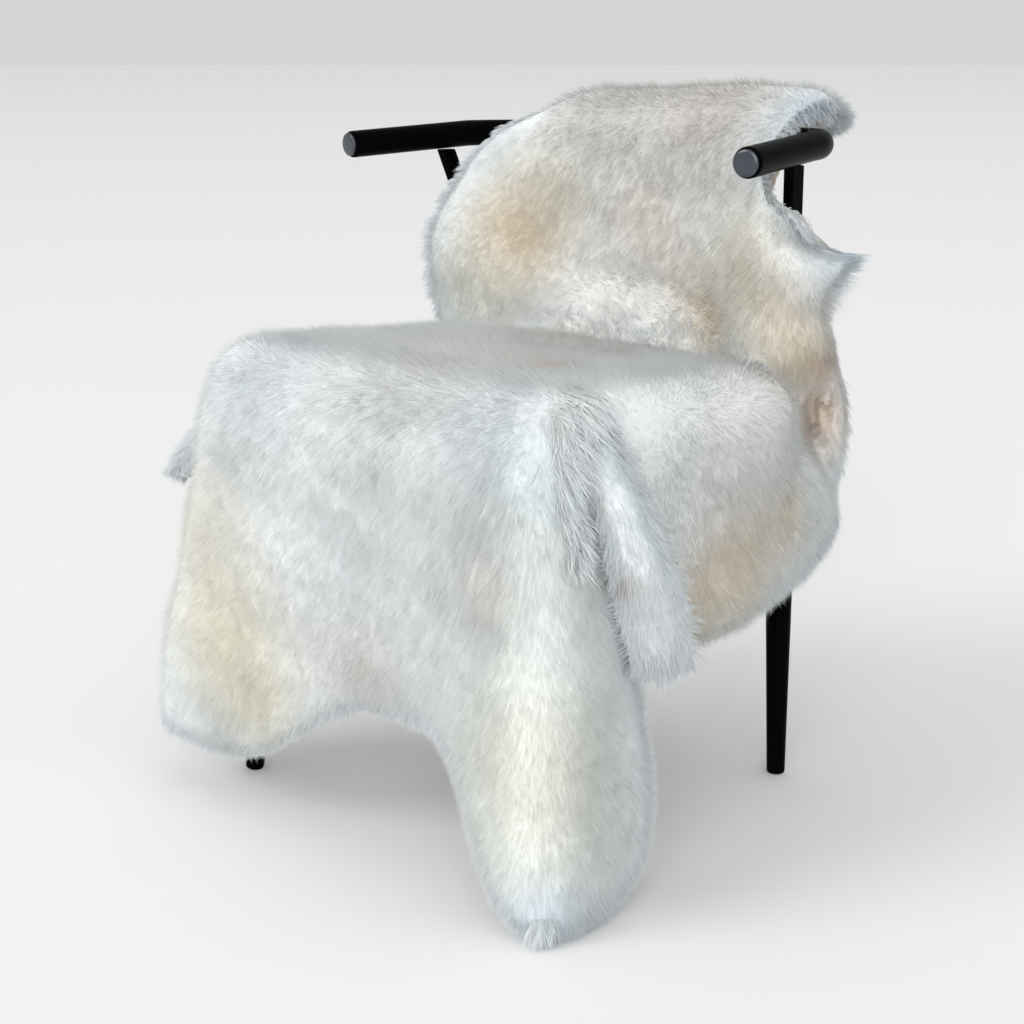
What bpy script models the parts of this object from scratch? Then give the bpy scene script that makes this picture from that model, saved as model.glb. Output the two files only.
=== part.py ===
"""Sheepskin rug draped over a slim black armchair.

Metres, +Z up. The chair faces -Y. Left and right are as seen from its front, so
its right side is at +X.
The skin hangs behind the back rail, lies over the rail and the seat and falls
in front of the seat in two lobes, with a flap over each side of the seat.
"""

import bpy
import bmesh
import math
import numpy as np

# Place of the chair in the frame, so that the whole object is centred on it
chairX = 0.0150
chairY = 0.0010

# Seat and legs
seatWidth = 0.400
seatDepth = 0.400
seatThickness = 0.030
seatTop = 0.448
seatCornerRadius = 0.050
seatEdgeRound = 0.006
frontFootX = 0.239
frontFootY = -0.211
rearFootX = 0.222
rearFootY = 0.190
frontLegTopX = 0.172
frontLegTopY = -0.155
rearLegTopX = 0.200
rearLegTopY = 0.205
footRadius = 0.0105
legTopRadius = 0.0190
legFacets = 24
legEdgeRound = 0.0012
jointGap = 0.0006

# Rail of the arms and back, one bent tube
railRadius = 0.0154
railFrontX = 0.2793
railFrontY = -0.0006
railFrontZ = 0.7067
railBendX = 0.2467
railBendY = 0.1673
railRearZ = 0.716
railBendRadius = 0.100
railBendSteps = 9
railEndRound = 0.006
railEndShares = (0.55, 0.86, 1.0)

# Posts, flat bars from the rear legs to the rail
postWidth = 0.021
postThickness = 0.012
postTopX = 0.2490
postTopY = 0.131
postFootX = 0.199
postFootY = 0.214
postEdgeRound = 0.0015

# Skin: distances in the cross sections are measured along the surface
pileThickness = 0.035
rimWidth = 0.034
rimShare = 0.22
sideBend = 0.120
alongCount = 77
acrossCount = 33
lockLength = 0.010
lumpHeight = 0.0035
thinnest = 0.011
chairClearance = 0.006
postReach = 0.017
floorGap = 0.004

# Cross sections of the skin from its tail behind the rail to its front hem.
# y and z place the middle of the pile surface. On each side the section runs
# level for flat, then turns for side towards an angle from straight down,
# positive to the rear. drop is the share of the lobes' length at the section.
sectionColumns = (
    "y", "z",
    "leftFlat", "leftSide", "leftAngle",
    "rightFlat", "rightSide", "rightAngle",
    "drop",
)
sections = {
    "tail hem":    (0.304, 0.640, 0.090, 0.000, -90, 0.070, 0.000, -90, 0.00),
    "tail":        (0.310, 0.690, 0.140, 0.000, -90, 0.095, 0.000, -90, 0.00),
    "tail top":    (0.294, 0.750, 0.155, 0.000, -60, 0.220, 0.000,   0, 0.00),
    "crown":       (0.245, 0.777, 0.160, 0.000, -25, 0.238, 0.000, -20, 0.00),
    "back top":    (0.188, 0.750, 0.175, 0.000, -60, 0.230, 0.000, -90, 0.00),
    "back":        (0.172, 0.700, 0.208, 0.000, -80, 0.214, 0.000, -90, 0.00),
    "notch":       (0.172, 0.664, 0.220, 0.000, -90, 0.240, 0.000, -90, 0.00),
    "ear top":     (0.172, 0.638, 0.228, 0.000, -90, 0.282, 0.000, -60, 0.00),
    "ear":         (0.172, 0.616, 0.233, 0.000, -90, 0.326, 0.000,  80, 0.00),
    "back low":    (0.172, 0.550, 0.248, 0.000, -90, 0.294, 0.015,  60, 0.00),
    "crease":      (0.160, 0.490, 0.264, 0.020, -30, 0.262, 0.130,  27, 0.00),
    "seat rear":   (0.090, 0.500, 0.245, 0.110,   0, 0.270, 0.220,  30, 0.00),
    "seat":       (-0.020, 0.507, 0.240, 0.140,   0, 0.275, 0.255,  10, 0.00),
    "seat front": (-0.130, 0.512, 0.246, 0.120,   0, 0.270, 0.240,   5, 0.00),
    "brow":       (-0.225, 0.503, 0.248, 0.060,  20, 0.250, 0.080,  20, 0.00),
    "lip":        (-0.272, 0.455, 0.250, 0.060,  60, 0.260, 0.080,  60, 0.05),
    "front top":  (-0.282, 0.380, 0.260, 0.060,  90, 0.270, 0.105,  90, 0.25),
    "front":      (-0.284, 0.300, 0.278, 0.060,  90, 0.280, 0.130,  90, 0.50),
    "front low":  (-0.284, 0.225, 0.302, 0.060,  90, 0.288, 0.145,  90, 0.78),
    "front hem":  (-0.280, 0.165, 0.318, 0.060,  90, 0.292, 0.140,  90, 1.00),
}

# Lobes of the front hem: place across the skin, half width, extra length,
# swing to the front, and how square the lobe is
lobeColumns = ("across", "width", "length", "swing", "square")
lobes = {
    "left lobe":  (-0.232, 0.184, 0.104, 0.025, 3.5),
    "right lobe": (0.320, 0.146, 0.160, 0.030, 4.2),
}

# Folds and hollows of the skin: middle, radius and how far it is pushed there
foldColumns = ("x", "y", "z", "radius", "pushX", "pushY", "pushZ")
folds = {
    "left post fold":   (-0.265, 0.160, 0.600, 0.110, 0.000, -0.082, 0.000),
    "right post fold":  (0.265, 0.160, 0.600, 0.110, 0.000, -0.082, 0.000),
    "crown left":       (-0.200, 0.245, 0.776, 0.075, 0.000, 0.000, -0.018),
    "crown right":      (0.120, 0.230, 0.776, 0.070, 0.000, 0.000, 0.006),
    "seat rear corner": (0.240, 0.045, 0.465, 0.072, 0.018, 0.000, 0.010),
    "right crease":     (0.230, 0.165, 0.505, 0.070, 0.000, -0.042, -0.004),
    "right valley":     (0.262, 0.150, 0.450, 0.050, -0.034, 0.012, -0.010),
    "side bulge":       (0.290, 0.020, 0.425, 0.080, 0.018, 0.000, 0.000),
    "flap roll rear":   (0.285, 0.110, 0.310, 0.055, 0.010, 0.000, 0.000),
    "flap roll":        (0.287, 0.000, 0.270, 0.050, 0.010, 0.000, 0.000),
    "front left corner": (-0.235, -0.200, 0.485, 0.060, -0.012, -0.004, 0.005),
    "back hollow":      (-0.120, 0.170, 0.620, 0.060, 0.000, 0.010, 0.000),
    "left lobe roll":   (-0.240, -0.300, 0.180, 0.100, 0.000, -0.010, 0.000),
    "right lobe roll":  (0.240, -0.300, 0.160, 0.100, 0.006, -0.010, 0.000),
    "front hollow":     (0.020, -0.285, 0.300, 0.090, 0.000, 0.012, 0.000),
}

# Tongues that hang at the corners of the seat: middle line of the pile
# surface, half width and the way the tongue faces in plan, from the front
tongueColumns = ("x", "y", "z", "halfWidth", "facing")
rightTongue = {
    "root":     (0.226, -0.187, 0.487, 0.021, 42),
    "shoulder": (0.262, -0.206, 0.470, 0.026, 44),
    "bend":     (0.287, -0.207, 0.434, 0.031, 47),
    "upper":    (0.306, -0.199, 0.384, 0.034, 50),
    "lower":    (0.321, -0.182, 0.312, 0.039, 52),
    "tip":      (0.324, -0.165, 0.247, 0.036, 52),
}
leftTongue = {
    "root":  (-0.228, -0.205, 0.448, 0.018, -35),
    "bend":  (-0.290, -0.228, 0.408, 0.024, -20),
    "tip":   (-0.350, -0.238, 0.344, 0.022, -15),
}
tongueThickness = 0.034
tongueAlong = 13
tongueAcross = 7
tongueBulge = 0.012
tongueRim = 0.020
rootShare = 0.35


def clearFile():
    """Remove every object left in the file."""
    for item in list(bpy.data.objects):
        bpy.data.objects.remove(item, do_unlink=True)


def newCollection(name):
    """Collection linked to the scene."""
    group = bpy.data.collections.new(name)
    bpy.context.scene.collection.children.link(group)
    return group


def plainMaterial(name, colour, roughness, metallic):
    """Principled material with a plain colour."""
    material = bpy.data.materials.new(name)
    material.use_nodes = True
    shader = material.node_tree.nodes["Principled BSDF"]
    shader.inputs["Base Color"].default_value = (*colour, 1.0)
    shader.inputs["Roughness"].default_value = roughness
    shader.inputs["Metallic"].default_value = metallic
    return material


def blackMaterial(name):
    """Satin black paint of the chair."""
    return plainMaterial(name, (0.012, 0.012, 0.013), 0.35, 0.0)


def woolMaterial():
    """Ivory wool."""
    return plainMaterial("ivory_wool", (0.80, 0.74, 0.62), 0.9, 0.0)


def meshObject(name, group, points, faces, material):
    """Object with a mesh of the points and faces."""
    mesh = bpy.data.meshes.new(name)
    mesh.from_pydata([tuple(map(float, p)) for p in points], [], faces)
    mesh.validate()
    mesh.update()
    item = bpy.data.objects.new(name, mesh)
    item.data.materials.append(material)
    group.objects.link(item)
    return item


def primitiveObject(name, group, shape, material):
    """Object from a bmesh."""
    mesh = bpy.data.meshes.new(name)
    shape.to_mesh(mesh)
    shape.free()
    mesh.materials.append(material)
    item = bpy.data.objects.new(name, mesh)
    group.objects.link(item)
    return item


def addBevel(item, width, segments):
    """Rounded edges."""
    bevel = item.modifiers.new("edge_round", "BEVEL")
    bevel.width = width
    bevel.segments = segments
    bevel.limit_method = "ANGLE"
    bevel.angle_limit = math.radians(40)


def shadeSmooth(item):
    """Smooth shading on every face."""
    item.data.polygons.foreach_set("use_smooth", [True] * len(item.data.polygons))


def buildSeat(group):
    """Flat seat with rounded corners in plan."""
    shape = bmesh.new()
    corners = []
    for signX, signY, start in ((1, 1, 0), (-1, 1, 90), (-1, -1, 180), (1, -1, 270)):
        middleX = signX * (seatWidth / 2 - seatCornerRadius)
        middleY = signY * (seatDepth / 2 - seatCornerRadius)
        for step in range(5):
            angle = math.radians(start + 22.5 * step)
            x = chairX + middleX + seatCornerRadius * math.cos(angle)
            y = chairY + middleY + seatCornerRadius * math.sin(angle)
            corners.append(shape.verts.new((x, y, seatTop - seatThickness)))
    face = shape.faces.new(corners)
    extruded = bmesh.ops.extrude_face_region(shape, geom=[face])
    raised = [part for part in extruded["geom"] if isinstance(part, bmesh.types.BMVert)]
    bmesh.ops.translate(shape, verts=raised, vec=(0, 0, seatThickness))
    bmesh.ops.recalc_face_normals(shape, faces=shape.faces)
    seat = primitiveObject("chair_seat", group, shape, blackMaterial("seat_black"))
    addBevel(seat, seatEdgeRound, 2)
    return seat


def buildLeg(name, group, foot, top):
    """Tapered round leg, level at both ends."""
    shape = bmesh.new()
    height = seatTop - seatThickness - jointGap
    ends = {"radius1": footRadius, "radius2": legTopRadius}
    bmesh.ops.create_cone(shape, cap_ends=True, segments=legFacets, depth=height, **ends)
    for vert in shape.verts:
        end = top if vert.co.z > 0 else foot
        vert.co.x += chairX + end[0]
        vert.co.y += chairY + end[1]
        vert.co.z += height / 2
    leg = primitiveObject(name, group, shape, blackMaterial(name + "_black"))
    shadeSmooth(leg)
    addBevel(leg, legEdgeRound, 1)
    return leg


def railPath():
    """Points of the rail and the radius share at each, from one arm's end to the other."""
    front = np.array((railFrontX, railFrontY, railFrontZ))
    bend = np.array((railBendX, railBendY, railRearZ))
    along = bend - front
    heading = math.atan2(along[0], along[1])
    middle = bend[:2] - railBendRadius * np.array((math.cos(heading), -math.sin(heading)))
    half = [front + along * share for share in (0.0, 0.25, 0.5, 0.75)]
    for step in range(railBendSteps + 1):
        angle = -heading + (math.pi / 2 + heading) * step / railBendSteps
        x = middle[0] + railBendRadius * math.cos(angle)
        y = middle[1] + railBendRadius * math.sin(angle)
        half.append(np.array((x, y, railRearZ)))
    straight = along / np.linalg.norm(along)
    ends = [front, front + straight * railEndRound * 0.35, front + straight * railEndRound]
    points = ends + half[1:]
    radii = list(railEndShares) + [1.0] * (len(half) - 1)
    mirrored = [point * np.array((-1, 1, 1)) for point in reversed(points)]
    return points + mirrored, radii + radii[::-1]


def buildRail(group):
    """Bent tube of both arms and the back."""
    points, radii = railPath()
    curve = bpy.data.curves.new("chair_rail", "CURVE")
    curve.dimensions = "3D"
    curve.bevel_depth = railRadius
    curve.bevel_resolution = 4
    curve.use_fill_caps = True
    spline = curve.splines.new("POLY")
    spline.points.add(len(points) - 1)
    for place, point, share in zip(spline.points, points, radii):
        place.co = (point[0] + chairX, point[1] + chairY, point[2], 1)
        place.radius = share
    spline.use_smooth = True
    rail = bpy.data.objects.new("chair_rail", curve)
    curve.materials.append(blackMaterial("rail_black"))
    group.objects.link(rail)
    return rail


def buildPost(name, group, side):
    """Flat bar from the top of a rear leg to the underside of the rail, level at both ends."""
    low = seatTop - seatThickness + jointGap
    share = (postTopY - railFrontY) / (railBendY - railFrontY)
    high = railFrontZ + (railRearZ - railFrontZ) * share - railRadius - jointGap
    shape = bmesh.new()
    bmesh.ops.create_cube(shape, size=1.0)
    for vert in shape.verts:
        upper = vert.co.z > 0
        endX = postTopX if upper else postFootX
        endY = postTopY if upper else postFootY
        vert.co.x = chairX + side * endX + vert.co.x * postThickness
        vert.co.y = chairY + endY + vert.co.y * postWidth
        vert.co.z = high if upper else low
    post = primitiveObject(name, group, shape, blackMaterial(name + "_black"))
    addBevel(post, postEdgeRound, 2)
    return post


def smoothThrough(knots, values, places):
    """Smooth curve through the values at the knots, read at the places."""
    gaps = np.diff(knots)
    slopes = np.diff(values, axis=0) / gaps[:, None]
    tangents = np.empty_like(values)
    tangents[0] = slopes[0]
    tangents[-1] = slopes[-1]
    weights = (gaps[1:] + gaps[:-1])[:, None]
    tangents[1:-1] = (slopes[:-1] * gaps[1:, None] + slopes[1:] * gaps[:-1, None]) / weights
    index = np.clip(np.searchsorted(knots, places, side="right") - 1, 0, len(knots) - 2)
    gap = gaps[index][:, None]
    s = (places - knots[index])[:, None] / gap
    first = (2 * s**3 - 3 * s**2 + 1) * values[index] + (s**3 - 2 * s**2 + s) * gap * tangents[index]
    second = (3 * s**2 - 2 * s**3) * values[index + 1] + (s**3 - s**2) * gap * tangents[index + 1]
    return first + second


def crowded(count):
    """Numbers from 0 to 1, closer together at both ends."""
    even = np.linspace(-1, 1, count)
    return 0.5 + 0.5 * (0.6 * even + 0.4 * np.sin(even * math.pi / 2))


def turnedSection(flat, side, share):
    """Distances outwards and downwards at a share of a section that is level and then turns."""
    steps = np.linspace(0, 1, 80)
    length = (flat + side)[:, None]
    turn = np.clip((steps * length - flat[:, None]) / sideBend + 0.5, 0, 1)
    angle = math.pi / 2 * turn * turn * (3 - 2 * turn)
    pace = length / (len(steps) - 1)
    zero = np.zeros_like(length)
    out = np.hstack([zero, np.cumsum((np.cos(angle[:, 1:]) + np.cos(angle[:, :-1])) / 2 * pace, axis=1)])
    down = np.hstack([zero, np.cumsum((np.sin(angle[:, 1:]) + np.sin(angle[:, :-1])) / 2 * pace, axis=1)])
    outwards = np.array([np.interp(share, steps, row) for row in out])
    downwards = np.array([np.interp(share, steps, row) for row in down])
    return outwards, downwards


def skinSurface():
    """Grid of points on the pile surface of the skin, tail to hem by left to right."""
    table = np.array(list(sections.values()), dtype=float)
    knots = np.concatenate([[0], np.cumsum(np.hypot(*np.diff(table[:, :2], axis=0).T))])
    rows = smoothThrough(knots, table, crowded(alongCount) * knots[-1])
    row = dict(zip(sectionColumns, rows.T))
    share = crowded(acrossCount) * 2 - 1
    grid = np.zeros((alongCount, acrossCount, 3))
    across = np.zeros((alongCount, acrossCount))
    for side, name in ((-1, "left"), (1, "right")):
        chosen = share * side >= 0
        flat = row[name + "Flat"]
        turned = np.maximum(row[name + "Side"], 0)
        out, down = turnedSection(flat, turned, np.abs(share[chosen]))
        angle = np.radians(row[name + "Angle"])[:, None]
        grid[:, chosen, 0] = side * out
        grid[:, chosen, 1] = row["y"][:, None] + down * np.sin(angle)
        grid[:, chosen, 2] = row["z"][:, None] - down * np.cos(angle)
        across[:, chosen] = share[chosen] * (flat + turned)[:, None]
    drop = np.clip(row["drop"], 0, None)[:, None]
    for values in lobes.values():
        lobe = dict(zip(lobeColumns, values))
        swell = np.exp(-np.abs((across - lobe["across"]) / lobe["width"]) ** lobe["square"])
        grid[..., 2] -= drop * lobe["length"] * swell
        grid[..., 1] -= drop * lobe["swing"] * swell
    for values in folds.values():
        fold = dict(zip(foldColumns, values))
        away = grid - np.array((fold["x"], fold["y"], fold["z"]))
        share = np.exp(-(np.linalg.norm(away, axis=2) / fold["radius"]) ** 2)
        grid = grid + share[..., None] * np.array((fold["pushX"], fold["pushY"], fold["pushZ"]))
    return grid


def tongueSurface(table):
    """Grid of points on the pile surface of a hanging tongue."""
    values = np.array(list(table.values()), dtype=float)
    knots = np.concatenate([[0], np.cumsum(np.linalg.norm(np.diff(values[:, :3], axis=0), axis=1))])
    rows = smoothThrough(knots, values, crowded(tongueAlong) * knots[-1])
    row = dict(zip(tongueColumns, rows.T))
    share = crowded(tongueAcross) * 2 - 1
    facing = np.radians(row["facing"])[:, None]
    wide = row["halfWidth"][:, None] * share
    sink = tongueBulge * share**2
    grid = np.zeros((tongueAlong, tongueAcross, 3))
    grid[..., 0] = row["x"][:, None] + wide * np.cos(facing) - sink * np.sin(facing)
    grid[..., 1] = row["y"][:, None] + wide * np.sin(facing) + sink * np.cos(facing)
    grid[..., 2] = row["z"][:, None]
    return grid


def surfaceNormals(grid):
    """Unit normals of a grid of points, on the side of the pile."""
    along = np.gradient(grid, axis=0)
    across = np.gradient(grid, axis=1)
    normals = np.cross(along, across)
    normals /= np.linalg.norm(normals, axis=2, keepdims=True)
    normals[:, :2] = normals[:, 2:3]
    normals[:, -2:] = normals[:, -3:-2]
    normals[:2] = normals[2:3]
    normals[-2:] = normals[-3:-2]
    for _ in range(3):
        padded = np.pad(normals, ((1, 1), (1, 1), (0, 0)), mode="edge")
        beside = padded[2:, 1:-1] + padded[:-2, 1:-1] + padded[1:-1, 2:] + padded[1:-1, :-2]
        normals = beside + 2 * normals
        normals /= np.linalg.norm(normals, axis=2, keepdims=True)
    return normals


def rimDistance(grid):
    """Distance of each grid point from the rim, along the grid lines."""
    alongStep = np.linalg.norm(np.diff(grid, axis=0), axis=2)
    acrossStep = np.linalg.norm(np.diff(grid, axis=1), axis=2)
    along = np.vstack([np.zeros((1, grid.shape[1])), np.cumsum(alongStep, axis=0)])
    across = np.hstack([np.zeros((grid.shape[0], 1)), np.cumsum(acrossStep, axis=1)])
    ends = np.minimum(along, along[-1:] - along)
    sides = np.minimum(across, across[:, -1:] - across)
    return np.minimum(ends, sides)


def lumps(grid):
    """Uneven height of the pile, worked out from the place of each point."""
    x, y, z = grid[..., 0], grid[..., 1], grid[..., 2]
    broad = np.sin(31 * x + 17 * z) * np.cos(27 * y - 23 * z + 1.3)
    narrow = np.sin(74 * x - 58 * y + 0.7) * np.cos(66 * z + 41 * y)
    return 0.6 * broad + 0.4 * narrow


def lineDistance(grid, line):
    """Distance of each grid point from a line of straight pieces."""
    nearest = np.full(grid.shape[:2], np.inf)
    for start, end in zip(line[:-1], line[1:]):
        piece = end - start
        share = np.clip((grid - start) @ piece / (piece @ piece), 0, 1)
        foot = start + share[..., None] * piece
        nearest = np.minimum(nearest, np.linalg.norm(grid - foot, axis=2))
    return nearest


def pressedThickness(grid):
    """Thickness of the skin, pressed thinner where it lies on the rail or a post."""
    rail = lineDistance(grid, np.array(railPath()[0]))
    room = rail - railRadius
    for side in (-1, 1):
        low = (side * postFootX, postFootY, seatTop - seatThickness)
        high = (side * postTopX, postTopY, railRearZ)
        post = lineDistance(grid, np.array((low, high)))
        room = np.minimum(room, post - postReach)
    return np.clip(room - chairClearance, thinnest, pileThickness)[..., None]


def slabMesh(grid, thickness, rim):
    """Points and faces of a closed slab under a grid, round at the rim with pointed locks."""
    normals = surfaceNormals(grid)
    near = np.clip(rimDistance(grid) / rim, 0, 1)
    full = np.maximum(np.sqrt(1 - (1 - near) ** 2), rimShare)[..., None]
    height = thickness + lumpHeight * lumps(grid)[..., None] * near[..., None]
    top = grid - (thickness - height) * normals - thickness / 2 * (1 - full) * normals
    under = grid - thickness / 2 * (1 + full) * normals
    count = grid.shape[0] * grid.shape[1]
    order = np.arange(count).reshape(grid.shape[:2])
    ring = np.concatenate([order[0, :-1], order[:-1, -1], order[-1, :0:-1], order[:0:-1, 0]])
    inner = np.concatenate([order[2, :-1], order[:-1, -3], order[-3, :0:-1], order[:0:-1, 2]])
    flatGrid = (top + under).reshape(-1, 3) / 2
    outwards = flatGrid[ring] - flatGrid[inner]
    outwards /= np.linalg.norm(outwards, axis=1, keepdims=True)
    reach = lockLength * np.where(np.arange(len(ring)) % 2 == 0, 1.0, 0.35)
    edge = flatGrid[ring] + outwards * reach[:, None]
    points = np.vstack([top.reshape(-1, 3), under.reshape(-1, 3), edge])
    points[:, 2] = np.maximum(points[:, 2], floorGap)
    a, b = order[:-1, :-1].ravel(), order[:-1, 1:].ravel()
    c, d = order[1:, 1:].ravel(), order[1:, :-1].ravel()
    faces = np.vstack([np.stack([d, c, b, a], 1), np.stack([a, b, c, d], 1) + count])
    following = np.roll(ring, -1)
    rimIndex = 2 * count + np.arange(len(ring))
    rimNext = np.roll(rimIndex, -1)
    upper = np.stack([ring, following, rimNext, rimIndex], 1)
    lower = np.stack([rimIndex, rimNext, following + count, ring + count], 1)
    return points, np.vstack([faces, upper, lower]).tolist()


def buildSkin(group, cutters):
    """Skin with its two tongues joined into one solid."""
    grid = skinSurface()
    points, faces = slabMesh(grid, pressedThickness(grid), rimWidth)
    offset = np.array((chairX, chairY, 0.0))
    skin = meshObject("sheepskin_rug", group, points + offset, faces, woolMaterial())
    shadeSmooth(skin)
    for name, table in (("right_tongue", rightTongue), ("left_tongue", leftTongue)):
        swelling = np.clip(rootShare + 2 * crowded(tongueAlong), 0, 1)[:, None, None]
        points, faces = slabMesh(tongueSurface(table), tongueThickness * swelling, tongueRim)
        tongue = meshObject(name, cutters, points + offset, faces, skin.data.materials[0])
        shadeSmooth(tongue)
        tongue.hide_render = True
        tongue.display_type = "WIRE"
        join = skin.modifiers.new(name, "BOOLEAN")
        join.operation = "UNION"
        join.solver = "EXACT"
        join.object = tongue
    return skin


def main():
    clearFile()
    group = newCollection("sheepskin_rug_on_chair")
    cutters = newCollection("cutters")
    cutters.hide_render = True
    buildSeat(group)
    buildRail(group)
    for side, name in ((-1, "left"), (1, "right")):
        frontFoot = (side * frontFootX, frontFootY)
        frontTop = (side * frontLegTopX, frontLegTopY)
        rearFoot = (side * rearFootX, rearFootY)
        rearTop = (side * rearLegTopX, rearLegTopY)
        buildLeg("leg_front_" + name, group, frontFoot, frontTop)
        buildLeg("leg_rear_" + name, group, rearFoot, rearTop)
        buildPost("post_" + name, group, side)
    buildSkin(group, cutters)


main()
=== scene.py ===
import math

import bpy
import numpy as np
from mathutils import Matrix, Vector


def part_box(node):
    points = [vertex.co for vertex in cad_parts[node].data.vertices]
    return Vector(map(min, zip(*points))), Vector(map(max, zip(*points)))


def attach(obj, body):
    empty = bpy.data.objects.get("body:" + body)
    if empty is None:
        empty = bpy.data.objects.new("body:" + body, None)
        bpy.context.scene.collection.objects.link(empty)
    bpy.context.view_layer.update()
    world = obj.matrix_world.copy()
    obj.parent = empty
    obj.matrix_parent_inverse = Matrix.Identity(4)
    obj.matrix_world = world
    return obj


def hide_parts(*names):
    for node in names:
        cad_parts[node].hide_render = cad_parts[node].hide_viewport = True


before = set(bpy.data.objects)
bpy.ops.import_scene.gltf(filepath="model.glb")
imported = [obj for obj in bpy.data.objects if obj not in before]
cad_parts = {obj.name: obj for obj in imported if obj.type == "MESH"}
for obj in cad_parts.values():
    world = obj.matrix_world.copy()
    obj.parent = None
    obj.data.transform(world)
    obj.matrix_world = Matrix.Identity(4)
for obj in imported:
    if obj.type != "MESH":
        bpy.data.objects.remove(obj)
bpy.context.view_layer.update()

# camera first, so that every piece can be judged from it

camera = {
    "place": (1.207, -1.3332, 0.7983),  # metres, in front of the chair and to its right
    "turn": 42.284,                     # degrees round the chair from straight ahead
    "pitch": 15.209,                    # degrees below level
    "lens": 57.996,
    "sensor": 36.0,
}


# camera at its place, turned about the upright axis and tipped down by its pitch
def makeCamera(values):
    data = bpy.data.cameras.new("camera")
    data.lens = values["lens"]
    data.sensor_width = values["sensor"]
    item = bpy.data.objects.new("camera", data)
    bpy.context.scene.collection.objects.link(item)
    item.location = values["place"]
    item.rotation_euler = (math.radians(90 - values["pitch"]), 0, math.radians(values["turn"]))
    bpy.context.scene.camera = item


makeCamera(camera)

# the skin's surface: the outside of the pile, as the CAD solid has it

seatLow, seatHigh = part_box("chair_seat")
chairX = (seatLow[0] + seatHigh[0]) / 2
chairY = (seatLow[1] + seatHigh[1]) / 2
seatTop = seatHigh[2]

# y, z: middle of the pile's outside. flat: level run on each side of it, side: run after
# the turn, angle: from straight down, to the rear. drop: share of the lobes' length
sectionColumns = (
    "y", "z", "leftFlat", "leftSide", "leftAngle", "rightFlat", "rightSide", "rightAngle", "drop",
)
sections = {
    "tail hem":    (0.304, 0.640, 0.090, 0.000, -90, 0.070, 0.000, -90, 0.00),
    "tail":        (0.310, 0.690, 0.140, 0.000, -90, 0.095, 0.000, -90, 0.00),
    "tail top":    (0.294, 0.750, 0.155, 0.000, -60, 0.220, 0.000,   0, 0.00),
    "crown":       (0.245, 0.777, 0.160, 0.000, -25, 0.238, 0.000, -20, 0.00),
    "back top":    (0.188, 0.750, 0.175, 0.000, -60, 0.230, 0.000, -90, 0.00),
    "back":        (0.172, 0.700, 0.208, 0.000, -80, 0.214, 0.000, -90, 0.00),
    "notch":       (0.172, 0.664, 0.220, 0.000, -90, 0.240, 0.000, -90, 0.00),
    "ear top":     (0.172, 0.638, 0.228, 0.000, -90, 0.282, 0.000, -60, 0.00),
    "ear":         (0.172, 0.616, 0.233, 0.000, -90, 0.326, 0.000,  80, 0.00),
    "back low":    (0.172, 0.550, 0.248, 0.000, -90, 0.294, 0.015,  60, 0.00),
    "crease":      (0.160, 0.490, 0.264, 0.020, -30, 0.262, 0.130,  27, 0.00),
    "seat rear":   (0.090, 0.500, 0.245, 0.110,   0, 0.270, 0.220,  30, 0.00),
    "seat":       (-0.020, 0.507, 0.240, 0.140,   0, 0.275, 0.255,  10, 0.00),
    "seat front": (-0.130, 0.512, 0.246, 0.120,   0, 0.270, 0.240,   5, 0.00),
    "brow":       (-0.225, 0.503, 0.248, 0.060,  20, 0.250, 0.080,  20, 0.00),
    "lip":        (-0.272, 0.455, 0.250, 0.060,  60, 0.260, 0.080,  60, 0.05),
    "front top":  (-0.282, 0.380, 0.260, 0.060,  90, 0.270, 0.105,  90, 0.25),
    "front":      (-0.284, 0.300, 0.278, 0.060,  90, 0.280, 0.130,  90, 0.50),
    "front low":  (-0.284, 0.225, 0.302, 0.060,  90, 0.288, 0.145,  90, 0.78),
    "front hem":  (-0.280, 0.165, 0.318, 0.060,  90, 0.292, 0.140,  90, 1.00),
}
lobeColumns = ("across", "width", "length", "swing", "square")
lobes = {
    "left lobe":  (-0.232, 0.184, 0.104, 0.025, 3.5),
    "right lobe": (0.320, 0.146, 0.160, 0.030, 4.2),
}
foldColumns = ("x", "y", "z", "radius", "pushX", "pushY", "pushZ")
folds = {
    "left post fold":   (-0.265, 0.160, 0.600, 0.110, 0.000, -0.082, 0.000),
    "right post fold":  (0.265, 0.160, 0.600, 0.110, 0.000, -0.082, 0.000),
    "crown left":       (-0.200, 0.245, 0.776, 0.075, 0.000, 0.000, -0.018),
    "crown right":      (0.120, 0.230, 0.776, 0.070, 0.000, 0.000, 0.006),
    "seat rear corner": (0.240, 0.045, 0.465, 0.072, 0.018, 0.000, 0.010),
    "right crease":     (0.230, 0.165, 0.505, 0.070, 0.000, -0.042, -0.004),
    "right valley":     (0.262, 0.150, 0.450, 0.050, -0.034, 0.012, -0.010),
    "side bulge":       (0.290, 0.020, 0.425, 0.080, 0.018, 0.000, 0.000),
    "flap roll rear":   (0.285, 0.110, 0.310, 0.055, 0.010, 0.000, 0.000),
    "flap roll":        (0.287, 0.000, 0.270, 0.050, 0.010, 0.000, 0.000),
    "front left corner": (-0.235, -0.200, 0.485, 0.060, -0.012, -0.004, 0.005),
    "back hollow":      (-0.120, 0.170, 0.620, 0.060, 0.000, 0.010, 0.000),
    "left lobe roll":   (-0.240, -0.300, 0.180, 0.100, 0.000, -0.010, 0.000),
    "right lobe roll":  (0.240, -0.300, 0.160, 0.100, 0.006, -0.010, 0.000),
    "front hollow":     (0.020, -0.285, 0.300, 0.090, 0.000, 0.012, 0.000),
}
tongueColumns = ("x", "y", "z", "halfWidth", "facing")
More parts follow.
